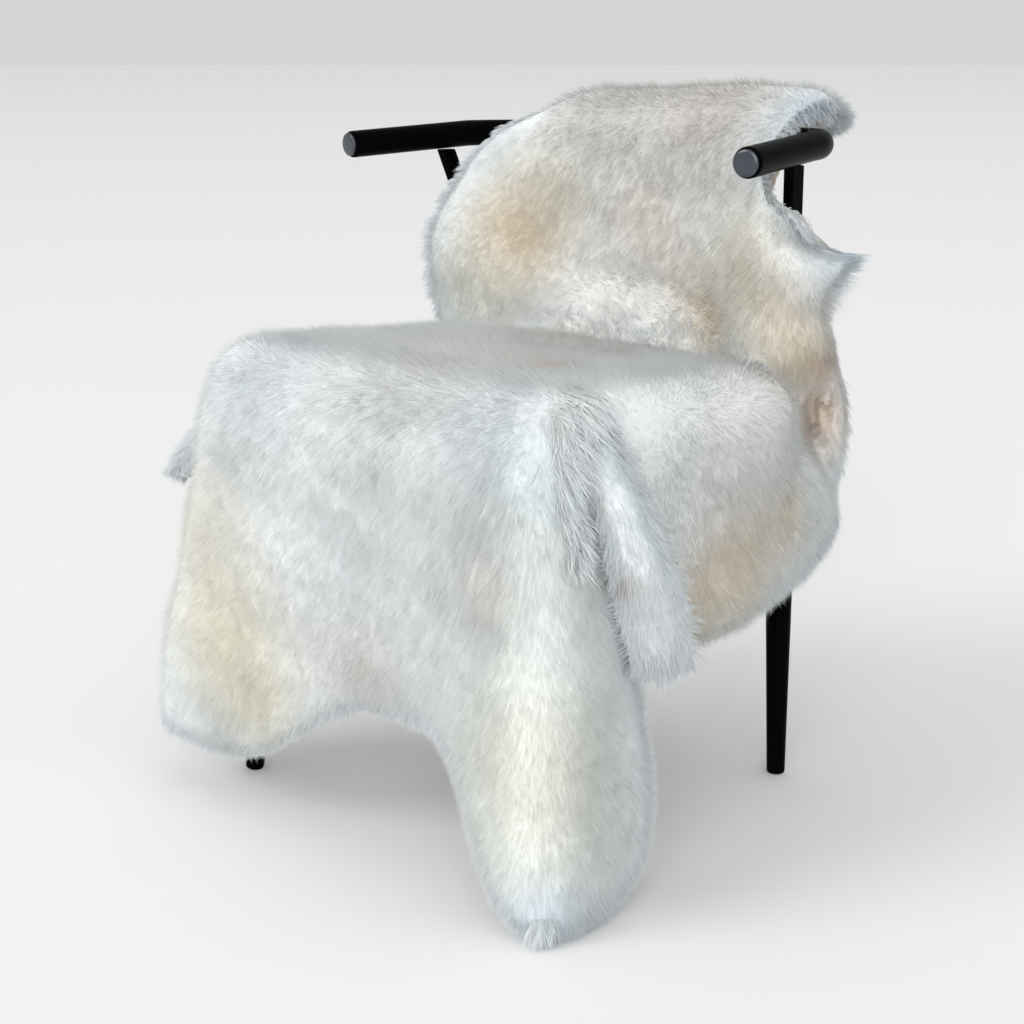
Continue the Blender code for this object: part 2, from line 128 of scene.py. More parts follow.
tongues = {
    "right": {
        "root":     (0.226, -0.187, 0.487, 0.021, 42),
        "shoulder": (0.262, -0.206, 0.470, 0.026, 44),
        "bend":     (0.287, -0.207, 0.434, 0.031, 47),
        "upper":    (0.306, -0.199, 0.384, 0.034, 50),
        "lower":    (0.321, -0.182, 0.312, 0.039, 52),
        "tip":      (0.324, -0.165, 0.247, 0.036, 52),
    },
    "left": {
        "root":  (-0.228, -0.205, 0.448, 0.018, -35),
        "bend":  (-0.290, -0.228, 0.408, 0.024, -20),
        "tip":   (-0.350, -0.238, 0.344, 0.022, -15),
    },
}
skin = {
    "pile": 0.035,        # depth of the wool with its hide
    "rimWidth": 0.034,    # the pile rounds off over this width at the rim
    "rimShare": 0.22,
    "sideBend": 0.120,    # run over which a section turns down
    "thinnest": 0.011,    # where the skin is pressed on the rail
    "clearance": 0.006,
    "along": 241,
    "across": 141,
    "turnSteps": 120,
    "evened": 14,         # rounds in which normals are evened out
    "hideGrid": (101, 61),
    "inset": 0.013,       # hide's edge inside the tips of the rim's wool
    "hide": 0.0024,       # thickness of the hide
    "lowest": (0.007, 0.005),  # hide's top and underside stay this far above the floor
    "pullReach": 0.018,   # a rim draws the wool outwards over this distance
}
tongue = {
    "pile": 0.034, "rimWidth": 0.020, "bulge": 0.012,
    "rootShare": 0.35, "growth": 2,   # the pile at the root, and how soon it is whole
    "along": 61, "across": 31, "evened": 6, "hideGrid": (25, 11), "coatGrid": (31, 15),
}
rail = {
    "radius": 0.0154, "frontX": 0.2793, "frontY": -0.0006, "frontZ": 0.7067,
    "bendX": 0.2467, "bendY": 0.1673, "rearZ": 0.716, "bendRadius": 0.100,
    "steps": 25, "coarseSteps": 9, "sides": 40,
    "endRound": 0.006, "endSteps": (0.0, 0.15, 0.4, 0.7, 1.0), "endFlat": 0.58,
}
post = {"topX": 0.2490, "topY": 0.131, "footX": 0.199, "footY": 0.214, "reach": 0.017}
seatThickness = 0.030
chairPlace = np.array((chairX, chairY, 0.0))


# smooth curve through the values at the knots: a cubic between each pair, with its
# slopes at the knots the weighted mean of the slopes beside them
def smoothThrough(knots, values, places):
    gaps = np.diff(knots)
    slopes = np.diff(values, axis=0) / gaps[:, None]
    tangents = np.empty_like(values)
    tangents[0] = slopes[0]
    tangents[-1] = slopes[-1]
    weights = (gaps[1:] + gaps[:-1])[:, None]
    tangents[1:-1] = (slopes[:-1] * gaps[1:, None] + slopes[1:] * gaps[:-1, None]) / weights
    index = np.clip(np.searchsorted(knots, places, side="right") - 1, 0, len(knots) - 2)
    gap = gaps[index][:, None]
    s = (places - knots[index])[:, None] / gap
    first = (2 * s**3 - 3 * s**2 + 1) * values[index] + (s**3 - 2 * s**2 + s) * gap * tangents[index]
    second = (3 * s**2 - 2 * s**3) * values[index + 1] + (s**3 - s**2) * gap * tangents[index + 1]
    return first + second


# distances out and down along a section that runs level and then turns: the integrals
# of the cosine and sine of an angle that rises smoothly from 0 to 90 degrees
def turnedSection(flat, side, share, bend):
    steps = np.linspace(0, 1, skin["turnSteps"])
    length = (flat + side)[:, None]
    turn = np.clip((steps * length - flat[:, None]) / bend + 0.5, 0, 1)
    angle = math.pi / 2 * turn * turn * (3 - 2 * turn)
    pace = length / (len(steps) - 1)
    zero = np.zeros_like(length)
    out = np.hstack([zero, np.cumsum((np.cos(angle[:, 1:]) + np.cos(angle[:, :-1])) / 2 * pace, axis=1)])
    down = np.hstack([zero, np.cumsum((np.sin(angle[:, 1:]) + np.sin(angle[:, :-1])) / 2 * pace, axis=1)])
    outwards = np.array([np.interp(share, steps, row) for row in out])
    downwards = np.array([np.interp(share, steps, row) for row in down])
    return outwards, downwards


# outside of the pile on a grid: the sections carried along the middle line, each side
# turned about it, the front hem lengthened by bell curves, and each fold a bell in space
def skinSurface():
    table = np.array(list(sections.values()), dtype=float)
    knots = np.concatenate([[0], np.cumsum(np.hypot(*np.diff(table[:, :2], axis=0).T))])
    rows = smoothThrough(knots, table, np.linspace(0, knots[-1], skin["along"]))
    row = dict(zip(sectionColumns, rows.T))
    share = np.linspace(-1, 1, skin["across"])
    grid = np.zeros((skin["along"], skin["across"], 3))
    across = np.zeros((skin["along"], skin["across"]))
    for side, name in ((-1, "left"), (1, "right")):
        chosen = share * side >= 0
        flat = row[name + "Flat"]
        turned = np.maximum(row[name + "Side"], 0)
        out, down = turnedSection(flat, turned, np.abs(share[chosen]), skin["sideBend"])
        angle = np.radians(row[name + "Angle"])[:, None]
        grid[:, chosen, 0] = side * out
        grid[:, chosen, 1] = row["y"][:, None] + down * np.sin(angle)
        grid[:, chosen, 2] = row["z"][:, None] - down * np.cos(angle)
        across[:, chosen] = share[chosen] * (flat + turned)[:, None]
    drop = np.clip(row["drop"], 0, None)[:, None]
    for values in lobes.values():
        lobe = dict(zip(lobeColumns, values))
        swell = np.exp(-np.abs((across - lobe["across"]) / lobe["width"]) ** lobe["square"])
        grid[..., 2] -= drop * lobe["length"] * swell
        grid[..., 1] -= drop * lobe["swing"] * swell
    for values in folds.values():
        fold = dict(zip(foldColumns, values))
        away = grid - np.array((fold["x"], fold["y"], fold["z"]))
        near = np.exp(-(np.linalg.norm(away, axis=2) / fold["radius"]) ** 2)
        grid = grid + near[..., None] * np.array((fold["pushX"], fold["pushY"], fold["pushZ"]))
    return grid


# outside of a tongue's pile: a smooth middle line with a strip across it, bowed by a
# square law towards its edges
def tongueSurface(table):
    values = np.array(list(table.values()), dtype=float)
    knots = np.concatenate([[0], np.cumsum(np.linalg.norm(np.diff(values[:, :3], axis=0), axis=1))])
    rows = smoothThrough(knots, values, np.linspace(0, knots[-1], tongue["along"]))
    row = dict(zip(tongueColumns, rows.T))
    share = np.linspace(-1, 1, tongue["across"])
    facing = np.radians(row["facing"])[:, None]
    wide = row["halfWidth"][:, None] * share
    sink = tongue["bulge"] * share**2
    grid = np.zeros((tongue["along"], tongue["across"], 3))
    grid[..., 0] = row["x"][:, None] + wide * np.cos(facing) - sink * np.sin(facing)
    grid[..., 1] = row["y"][:, None] + wide * np.sin(facing) + sink * np.cos(facing)
    grid[..., 2] = row["z"][:, None]
    return grid


# vectors over their lengths
def unit(vectors):
    return vectors / np.maximum(np.linalg.norm(vectors, axis=-1, keepdims=True), 1e-9)


# normals: cross product of the grid's two slopes, evened out with the neighbours
def surfaceNormals(grid, rounds):
    normals = unit(np.cross(np.gradient(grid, axis=0), np.gradient(grid, axis=1)))
    edge = 6  # points at each rim that take the normal of the point inside them
    for side, inner in ((slice(0, edge), edge), (slice(-edge, None), -edge - 1)):
        normals[:, side] = normals[:, inner][:, None]
        normals[side] = normals[inner]
    for _ in range(rounds):
        padded = np.pad(normals, ((1, 1), (1, 1), (0, 0)), mode="edge")
        beside = padded[2:, 1:-1] + padded[:-2, 1:-1] + padded[1:-1, 2:] + padded[1:-1, :-2]
        normals = unit(beside + normals)
    return normals


# the rail's middle line: a straight arm, an arc of the bend radius and the same mirrored
def railPath(steps):
    front = np.array((rail["frontX"], rail["frontY"], rail["frontZ"]))
    bend = np.array((rail["bendX"], rail["bendY"], rail["rearZ"]))
    heading = math.atan2(bend[0] - front[0], bend[1] - front[1])
    middle = bend[:2] - rail["bendRadius"] * np.array((math.cos(heading), -math.sin(heading)))
    angle = np.linspace(-heading, math.pi / 2, steps)
    arc = np.stack([
        middle[0] + rail["bendRadius"] * np.cos(angle),
        middle[1] + rail["bendRadius"] * np.sin(angle),
        np.full(steps, rail["rearZ"]),
    ], 1)
    half = np.vstack([front + (bend - front) * np.linspace(0, 1, steps)[:-1, None], arc])
    return np.vstack([half, (half * (-1, 1, 1))[::-1]])


# distance of points from a broken line
def lineDistance(grid, line):
    nearest = np.full(grid.shape[:-1], np.inf)
    for start, end in zip(line[:-1], line[1:]):
        piece = end - start
        share = np.clip((grid - start) @ piece / (piece @ piece), 0, 1)
        nearest = np.minimum(nearest, np.linalg.norm(grid - start - share[..., None] * piece, axis=-1))
    return nearest


# depth of the skin: the pile, or less where the rail or a post leaves less room
def skinDepth(grid):
    room = lineDistance(grid, railPath(rail["coarseSteps"])) - rail["radius"]
    for side in (-1, 1):
        low = (side * post["footX"], post["footY"], seatTop - seatThickness)
        high = (side * post["topX"], post["topY"], rail["rearZ"])
        room = np.minimum(room, lineDistance(grid, np.array((low, high))) - post["reach"])
    return np.clip(room - skin["clearance"], skin["thinnest"], skin["pile"])


# everything that the wool needs to know at each point of a grid: the hide under the
# pile, the pile's height, the grid's two directions and the way to the nearest rim
def skinField(pile, depth, rimWidth, rounds):
    normals = surfaceNormals(pile, rounds)
    alongStep = np.linalg.norm(np.diff(pile, axis=0), axis=2)
    acrossStep = np.linalg.norm(np.diff(pile, axis=1), axis=2)
    along = np.vstack([np.zeros((1, pile.shape[1])), np.cumsum(alongStep, axis=0)])
    across = np.hstack([np.zeros((pile.shape[0], 1)), np.cumsum(acrossStep, axis=1)])
    gaps = np.stack([along, along[-1:] - along, across, across[:, -1:] - across])
    rim = gaps.min(axis=0)
    near = np.clip(rim / rimWidth, 0, 1)
    full = np.maximum(np.sqrt(1 - (1 - near) ** 2), skin["rimShare"])
    lengthwise = unit(np.gradient(pile, axis=0))
    crosswise = unit(np.gradient(pile, axis=1))
    pull = np.exp(-gaps / skin["pullReach"])
    outwards = (pull[1] - pull[0])[..., None] * lengthwise + (pull[3] - pull[2])[..., None] * crosswise
    hide = pile - (depth * (1 + full) / 2)[..., None] * normals
    return {
        "hide": hide,
        "normal": normals,
        "height": (depth * full)[..., None],
        "lengthwise": lengthwise,
        "crosswise": crosswise,
        "outwards": unit(outwards),
        "rim": rim[..., None],
        "along": along[..., None],
        "across": (across - across[:, across.shape[1] // 2][:, None])[..., None],
    }


# bilinear reading of a grid of values at shares u and v, each from 0 to 1
def readGrid(values, u, v):
    row = np.clip(u, 0, 1) * (values.shape[0] - 1)
    column = np.clip(v, 0, 1) * (values.shape[1] - 1)
    i = np.minimum(row.astype(int), values.shape[0] - 2)
    j = np.minimum(column.astype(int), values.shape[1] - 2)
    a = (row - i)[..., None]
    b = (column - j)[..., None]
    near = values[i, j] * (1 - b) + values[i, j + 1] * b
    far = values[i + 1, j] * (1 - b) + values[i + 1, j + 1] * b
    return near * (1 - a) + far * a


pileGrid = skinSurface()
skinGrid = skinField(pileGrid, skinDepth(pileGrid), skin["rimWidth"], skin["evened"])
tongueGrids = {}
for tongueSide, tongueTable in tongues.items():
    tonguePile = tongueSurface(tongueTable)
    swelling = tongue["rootShare"] + tongue["growth"] * np.linspace(0, 1, tongue["along"])
    swelling = np.clip(swelling, 0, 1)
    tongueDepth = np.repeat((tongue["pile"] * swelling)[:, None], tongue["across"], axis=1)
    tongueGrids[tongueSide] = skinField(tonguePile, tongueDepth, tongue["rimWidth"], tongue["evened"])
print("skin surface:", pileGrid.shape[:2], "points")

# colours and lie of the wool, by place

woolBase = {
    "tip": (0.925, 0.97, 0.99),  # white of the tips, a little cool
    "root": (0.89, 0.91, 0.89),  # creamier wool below
    "rim": (0.82, 0.89, 0.95),   # dimmer, bluish white at the rim, where the wool is thin: painted shade
    "rimReach": 0.018,
    "rimShare": 0.8,
    "rimRoots": 0.7,             # share of the rim's colour that its roots take
    "rimShade": 0.93,
    "rootShade": 0.90,           # a tint's roots against its tips
}
# each row blends its colour in by its share and a bell of the distance from its place,
# one after another, so a later row lies over an earlier one
tintColumns = ("x", "y", "z", "radius", "red", "green", "blue", "share")
tints = {
    "back patch":        (-0.150, 0.153, 0.602, 0.062, 0.74, 0.60, 0.42, 0.85),
    "back patch top":    (-0.110, 0.170, 0.660, 0.055, 0.86, 0.80, 0.66, 0.65),
    "back left":         (-0.198, 0.136, 0.540, 0.065, 0.88, 0.85, 0.75, 0.65),
    "back middle":       (0.020, 0.171, 0.630, 0.080, 0.76, 0.71, 0.66, 0.75),
    "back right":        (0.190, 0.125, 0.590, 0.080, 0.86, 0.81, 0.70, 0.75),
    "back low":          (0.090, 0.165, 0.550, 0.060, 0.85, 0.80, 0.72, 0.60),
    # crown left, crown, crown right and horn: painted shade, a grey darkening of the top of the skin over
    # the rail
    "crown left":        (-0.080, 0.190, 0.740, 0.070, 0.58, 0.58, 0.56, 0.85),
    "crown":             (-0.010, 0.195, 0.757, 0.075, 0.57, 0.565, 0.54, 0.90),
    "crown right":       (0.100, 0.193, 0.756, 0.085, 0.54, 0.51, 0.48, 0.90),
    "horn":              (0.222, 0.200, 0.763, 0.036, 0.56, 0.63, 0.68, 0.85),
    "ear base":          (0.262, 0.110, 0.550, 0.055, 0.64, 0.57, 0.47, 0.85),
    # ear: painted shade, a bluish grey darkening of the ear
    "ear":               (0.325, 0.120, 0.605, 0.048, 0.54, 0.60, 0.64, 0.90),
    "ear low":           (0.272, 0.130, 0.505, 0.045, 0.84, 0.75, 0.60, 0.80),
    "crease warm":       (0.125, 0.158, 0.525, 0.040, 0.80, 0.69, 0.56, 0.70),
    # crease: the crease's own pinkish tone, with painted shade darkening the valley
    "crease":            (-0.040, 0.155, 0.500, 0.060, 0.86, 0.82, 0.78, 0.50),
    # seat warm, seat rear and seat left: the seat top's own warm tone, with a little painted shade on the
    # top
    "seat warm":         (0.070, -0.110, 0.510, 0.085, 0.97, 0.95, 0.93, 0.75),
    "seat rear":         (0.000, 0.060, 0.505, 0.080, 0.92, 0.89, 0.86, 0.65),
    "seat left":         (-0.070, -0.070, 0.510, 0.110, 0.97, 0.97, 0.97, 0.60),
    "seat edge":         (0.292, 0.055, 0.500, 0.035, 0.84, 0.79, 0.69, 0.50),
    "side bulge":        (0.300, -0.010, 0.440, 0.100, 0.79, 0.79, 0.785, 0.75),
    "side flap":         (0.294, 0.000, 0.310, 0.065, 0.83, 0.72, 0.57, 0.65),
    "side flap rear":    (0.296, 0.085, 0.345, 0.040, 0.84, 0.76, 0.63, 0.55),
    "side flap low":     (0.294, -0.060, 0.270, 0.055, 0.84, 0.77, 0.64, 0.65),
    # fold line: painted shade, a darker warm line along the side flap's fold
    "fold line":         (0.295, -0.025, 0.325, 0.014, 0.80, 0.62, 0.44, 0.60),
    "strip":             (0.264, 0.188, 0.430, 0.038, 0.66, 0.51, 0.38, 0.95),
    "strip top":         (0.280, 0.168, 0.490, 0.028, 0.66, 0.52, 0.39, 0.90),
    # brow left, brow and brow right: painted shade, dimming the brow where the key light falls full on it
    "brow left":         (-0.170, -0.250, 0.475, 0.080, 0.70, 0.74, 0.77, 0.60),
    "brow":              (0.034, -0.255, 0.480, 0.085, 0.70, 0.71, 0.69, 0.70),
    "brow right":        (0.180, -0.240, 0.480, 0.065, 0.69, 0.73, 0.75, 0.70),
    "front middle":      (-0.020, -0.280, 0.290, 0.080, 0.91, 0.93, 0.95, 0.50),
    # front low: painted shade, darker low on the front towards the floor
    "front low":         (0.030, -0.280, 0.200, 0.065, 0.74, 0.71, 0.68, 0.70),
    # ridge, ridge low and ridge side: painted shade, dimming the bright band where the fill light falls full
    # on the ridge
    "ridge":             (0.252, -0.264, 0.420, 0.060, 0.66, 0.72, 0.74, 0.85),
    "ridge low":         (0.262, -0.270, 0.345, 0.050, 0.72, 0.77, 0.76, 0.65),
    "ridge side":        (0.205, -0.288, 0.345, 0.070, 0.80, 0.80, 0.76, 0.70),
    "front left":        (-0.215, -0.298, 0.320, 0.085, 0.87, 0.84, 0.75, 0.65),
    "left lobe":         (-0.165, -0.304, 0.210, 0.085, 0.89, 0.84, 0.70, 0.75),
    # left lobe low keeps the lobe's warm tone; it and left hem grow darker towards the hem as painted shade
    "left lobe low":     (-0.120, -0.300, 0.140, 0.060, 0.84, 0.80, 0.67, 0.70),
    "left hem":          (-0.170, -0.306, 0.090, 0.035, 0.72, 0.73, 0.70, 0.75),
    # right lobe: painted shade, dimming the lobe's bright middle
    "right lobe":        (0.262, -0.298, 0.190, 0.080, 0.82, 0.83, 0.735, 0.75),
    "right lobe low":    (0.275, -0.295, 0.110, 0.065, 0.87, 0.89, 0.81, 0.60),
    # right tip: painted shade at the lobe's tip by the floor
    "right tip":         (0.285, -0.290, 0.030, 0.040, 0.72, 0.79, 0.85, 0.80),
    # tongue groove and tongue slit: painted shade, a warm dark line in the groove beside the tongue and a
    # dark slit between tongue and lobe
    "tongue groove":     (0.279, -0.218, 0.412, 0.012, 0.80, 0.66, 0.50, 0.45),
    "tongue slit":       (0.297, -0.205, 0.340, 0.013, 0.34, 0.22, 0.14, 0.85),
    # fold line rear, middle and low: painted shade along the same fold
    "fold line rear":    (0.296, 0.085, 0.360, 0.013, 0.80, 0.66, 0.50, 0.60),
    "fold line middle":  (0.298, 0.035, 0.347, 0.013, 0.80, 0.66, 0.50, 0.60),
    "fold line low":     (0.292, -0.055, 0.304, 0.014, 0.80, 0.64, 0.46, 0.60),
    "seat spot":         (0.130, -0.100, 0.512, 0.020, 0.76, 0.64, 0.54, 0.60),
    "seat spot rear":    (0.120, 0.020, 0.506, 0.022, 0.78, 0.66, 0.57, 0.60),
    "crease spot":       (-0.090, 0.150, 0.492, 0.018, 0.78, 0.66, 0.57, 0.65),
    "crease spot right": (0.060, 0.140, 0.490, 0.018, 0.78, 0.64, 0.54, 0.65),
    # strip gap and strip spot rows: painted shade, a dark brown line down the gap at the strip's edge
    "strip gap top":     (0.288, 0.157, 0.530, 0.010, 0.30, 0.19, 0.12, 0.90),
    "strip gap":         (0.283, 0.163, 0.503, 0.009, 0.26, 0.16, 0.10, 0.90),
    "strip gap low":     (0.272, 0.176, 0.467, 0.010, 0.26, 0.16, 0.10, 0.90),
    "strip spot":        (0.256, 0.178, 0.444, 0.009, 0.32, 0.20, 0.13, 0.85),
    "strip spot low":    (0.254, 0.173, 0.416, 0.010, 0.36, 0.24, 0.16, 0.80),
    "tail":              (0.000, 0.310, 0.690, 0.120, 0.88, 0.84, 0.74, 0.45),
}
lieColumns = ("x", "y", "z", "radius", "toX", "toY", "toZ", "lean", "tousle", "share")
lies = {
    "back left":     (-0.180, 0.150, 0.600, 0.110, -0.80, 0.00, -0.10, 0.9, 0.10, 0.8),
    "back middle":   (0.020, 0.172, 0.650, 0.100, -0.30, 0.00, -0.80, 0.9, 0.35, 0.7),
    "back right":    (0.210, 0.120, 0.580, 0.080, 0.60, 0.00, -0.80, 1.0, 0.10, 0.8),
    "ear":           (0.320, 0.130, 0.600, 0.050, 1.00, 0.10, 0.15, 1.3, 0.08, 0.9),
    "crease":        (-0.020, 0.160, 0.500, 0.090, 0.10, -0.20, 1.00, 0.9, 0.32, 0.9),
    "crease right":  (0.100, 0.150, 0.500, 0.070, 0.30, -0.20, 1.00, 0.9, 0.32, 0.9),
    "seat":          (0.000, -0.060, 0.507, 0.110, -0.45, -0.80, 0.00, 0.5, 0.35, 0.8),
    "seat rear":     (0.040, 0.060, 0.505, 0.090, 0.30, 0.20, 0.30, 0.3, 0.40, 0.9),
    "side bulge":    (0.300, 0.000, 0.430, 0.110, 0.10, 0.10, -0.70, 0.6, 0.06, 0.9),
    "corner":        (0.255, -0.215, 0.480, 0.050, 0.60, 0.05, -0.80, 1.8, 0.25, 0.9),
    "ridge top":     (0.200, -0.260, 0.460, 0.060, -0.10, -0.20, -1.00, 1.6, 0.30, 0.8),
    "ridge":         (0.230, -0.285, 0.340, 0.080, 0.05, 0.00, -1.00, 1.7, 0.22, 0.9),
    "brow":          (0.000, -0.250, 0.470, 0.080, -0.10, -0.30, -1.00, 1.3, 0.35, 0.7),
    "front middle":  (0.000, -0.280, 0.290, 0.110, 0.00, 0.00, -0.80, 0.7, 0.08, 0.9),
    "front left":    (-0.250, -0.290, 0.330, 0.090, -0.40, 0.00, -0.80, 0.7, 0.06, 0.9),
    "left lobe":     (-0.180, -0.304, 0.170, 0.090, -0.15, 0.00, -1.00, 0.8, 0.07, 0.9),
    "right lobe":    (0.270, -0.295, 0.130, 0.100, 0.05, 0.00, -1.00, 1.1, 0.14, 0.9),
    "side flap":     (0.295, 0.020, 0.300, 0.080, 0.10, 0.20, -1.00, 0.9, 0.12, 0.9),
    "strip":         (0.266, 0.178, 0.430, 0.050, 0.20, 0.20, -0.30, 0.3, 1.10, 0.9),
}
grooming = {"lean": 1.0, "tousle": 0.18, "weight": 0.55, "rimReach": 0.034, "rimPull": 1.6}
tongueGrooming = {"rimReach": 0.010, "rimPull": 0.7}


waves = {"count": 5, "pace": 2.2, "level": 3.2}


# smooth uneven values from -1 to 1: sum of sines of the place, each wave turned another way
def drift(points, scale, seed):
    rng = np.random.default_rng(seed)
    total = np.zeros(points.shape[:-1])
    for _ in range(waves["count"]):
        wave = rng.normal(size=3) / scale * waves["pace"]
        total += np.sin(points @ wave + rng.uniform(0, 2 * math.pi))
    return total / waves["level"]


# value between 0 and 1 for each pair of whole numbers, uneven but always the same: what a
# sine of them leaves after the point, with factors that only have to be odd and large
def scatter(i, j, seed):
    value = np.sin(i * 127.1 + j * 311.7 + seed * 74.7) * 43758.5453
    return value - np.floor(value)


# share of a row of a table at points: its own share times a bell of their distance from it
def nearness(points, row):
    away = points - chairPlace - np.array((row["x"], row["y"], row["z"]))
    return row["share"] * np.exp(-(np.linalg.norm(away, axis=1) / row["radius"]) ** 2)


# the way the wool lies, its lean and its tousle at points: the skin's own direction
# and weight, then blended with each row of the table by a bell of its distance
def woolLie(points, normal, flow):
    direction = flow.copy()
    direction[:, 2] -= grooming["weight"]
    lean = np.full(len(points), grooming["lean"])
    tousle = np.full(len(points), grooming["tousle"])
    for values in lies.values():
        lie = dict(zip(lieColumns, values))
        near = nearness(points, lie)
        to = np.array((lie["toX"], lie["toY"], lie["toZ"]))
        direction += near[:, None] * (to - direction)
        lean += near * (lie["lean"] - lean)
        tousle += near * (lie["tousle"] - tousle)
    direction -= (direction * normal).sum(1)[:, None] * normal
    return direction, lean, tousle


# colour of the wool's tips and roots at points, blended in the same way
def woolColour(points, rim):
    tip = np.tile(np.array(woolBase["tip"]), (len(points), 1))
    root = np.tile(np.array(woolBase["root"]), (len(points), 1))
    for values in tints.values():
        tint = dict(zip(tintColumns, values))
        near = nearness(points, tint)[:, None]
        colour = np.array((tint["red"], tint["green"], tint["blue"]))
        tip += near * (colour - tip)
        root += near * (colour * woolBase["rootShade"] - root)
    edge = np.exp(-np.maximum(rim, 0) / woolBase["rimReach"])[:, None] * woolBase["rimShare"]
    tip += edge * (np.array(woolBase["rim"]) - tip)
    root += edge * woolBase["rimRoots"] * (np.array(woolBase["rim"]) * woolBase["rimShade"] - root)
    return tip, root


# mesh helpers

# smooth mesh from points, its faces' corners in one row and the number of corners of each
def newMesh(name, points, loops, sizes, normals=None):
    mesh = bpy.data.meshes.new(name)
    mesh.vertices.add(len(points))
    mesh.vertices.foreach_set("co", np.ascontiguousarray(points, dtype=np.float32).ravel())
    mesh.loops.add(len(loops))
    mesh.loops.foreach_set("vertex_index", np.ascontiguousarray(loops, dtype=np.int32))
    mesh.polygons.add(len(sizes))
    starts = np.concatenate([[0], np.cumsum(sizes)[:-1]])
    mesh.polygons.foreach_set("loop_start", starts.astype(np.int32))
    mesh.polygons.foreach_set("use_smooth", np.full(len(sizes), True))
    mesh.update(calc_edges=True)
    mesh.validate()
    if normals is not None:
        mesh.normals_split_custom_set_from_vertices(normals)
    return mesh


# object of a mesh with its material, hung under the root body, and the solids that it takes the place of
def newPiece(name, mesh, material, nodes=()):
    item = bpy.data.objects.new(name, mesh)
    bpy.context.scene.collection.objects.link(item)
    mesh.materials.append(material)
    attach(item, "root")
    if nodes:
        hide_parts(*nodes)
    return item


# one colour at each point of a mesh
def paint(mesh, name, colours):
    layer = mesh.color_attributes.new(name=name, type="FLOAT_COLOR", domain="POINT")
    flat = np.ones((len(colours), 4), dtype=np.float32)
    flat[:, :3] = colours
    layer.data.foreach_set("color", flat.ravel())


# closed slab between two grids of points, with a ring of quads round their rims
def slab(name, top, under):
    rows, columns = top.shape[:2]
    count = rows * columns
    order = np.arange(count).reshape(rows, columns)
    a, b = order[:-1, :-1].ravel(), order[:-1, 1:].ravel()
    c, d = order[1:, 1:].ravel(), order[1:, :-1].ravel()
    ring = np.concatenate([order[0, :-1], order[:-1, -1], order[-1, :0:-1], order[:0:-1, 0]])
    following = np.roll(ring, -1)
    faces = np.vstack([
        np.stack([d, c, b, a], 1),
        np.stack([a, b, c, d], 1) + count,
        np.stack([ring, following, following + count, ring + count], 1),
    ])
    points = np.vstack([top.reshape(-1, 3), under.reshape(-1, 3)])
    return newMesh(name, points, faces.ravel(), np.full(len(faces), 4))


# tube along a path: at each point a circle of its radius, square to the path, and both
# ends closed by a fan round a centre point
def tube(name, path, radii, sides):
    forward = unit(np.gradient(path, axis=0))
    sideways = unit(np.cross(forward, np.array((0.0, 0.0, 1.0))))
    upwards = unit(np.cross(sideways, forward))
    angle = np.linspace(0, 2 * math.pi, sides, endpoint=False)
    outline = np.stack([np.cos(angle), np.sin(angle)], 1)
    ring = outline[None, :, :, None] * np.stack([sideways, upwards], 1)[:, None]
    points = path[:, None] + ring.sum(2) * np.asarray(radii)[:, None, None]
    count = len(path) * sides
    order = np.arange(count).reshape(len(path), sides)
    following = np.roll(order, -1, axis=1)
    walls = np.stack([order[:-1], following[:-1], following[1:], order[1:]], -1).reshape(-1, 4)
    start = np.stack([np.full(sides, count), following[0], order[0]], 1)
    end = np.stack([np.full(sides, count + 1), order[-1], following[-1]], 1)
    loops = np.concatenate([walls.ravel(), start.ravel(), end.ravel()])
    sizes = np.concatenate([np.full(len(walls), 4), np.full(2 * sides, 3)])
    return newMesh(name, np.vstack([points.reshape(-1, 3), path[:1], path[-1:]]), loops, sizes)


# materials

# new material with its nodes, links and main shader
def shaderOf(name):
    material = bpy.data.materials.new(name)
    material.use_nodes = True
    nodes = material.node_tree.nodes
    return material, nodes, material.node_tree.links, nodes["Principled BSDF"]


# noise of a scale and detail over an object's own coordinates
def noiseNode(nodes, links, scale, detail):
    place = nodes.new("ShaderNodeTexCoord")
    noise = nodes.new("ShaderNodeTexNoise")
    noise.inputs["Scale"].default_value = scale
    noise.inputs["Detail"].default_value = detail
    links.new(place.outputs["Object"], noise.inputs["Vector"])
    return noise.outputs["Fac"]


# relief: the shader's normal tipped by the slope of a height
def addRelief(nodes, links, shader, height, values):
    bump = nodes.new("ShaderNodeBump")
    bump.inputs["Strength"].default_value = values["relief"]
    bump.inputs["Distance"].default_value = values["depth"]
    links.new(height, bump.inputs["Height"])
    links.new(bump.outputs["Normal"], shader.inputs["Normal"])


# through: share of the light that passes through a hair
woolLook = {"roughness": 0.75, "sheen": 0.45, "sheenRoughness": 0.45, "shine": 0.3, "through": 0.35}
fleeceLook = {**woolLook, "through": 0.0}


# wool: each hair carries its colour, and the light on it is partly passed through
def woolMaterial(name, values):
    material, nodes, links, shader = shaderOf(name)
    colour = nodes.new("ShaderNodeAttribute")
    colour.attribute_name = "tint"
    links.new(colour.outputs["Color"], shader.inputs["Base Color"])
    shader.inputs["Roughness"].default_value = values["roughness"]
    shader.inputs["Sheen Weight"].default_value = values["sheen"]
    shader.inputs["Sheen Roughness"].default_value = values["sheenRoughness"]
    shader.inputs["Specular IOR Level"].default_value = values["shine"]
    through = nodes.new("ShaderNodeBsdfTranslucent")
    links.new(colour.outputs["Color"], through.inputs["Color"])
    mix = nodes.new("ShaderNodeMixShader")
    mix.inputs[0].default_value = values["through"]
    links.new(shader.outputs[0], mix.inputs[1])
    links.new(through.outputs[0], mix.inputs[2])
    links.new(mix.outputs[0], nodes["Material Output"].inputs["Surface"])
    return material


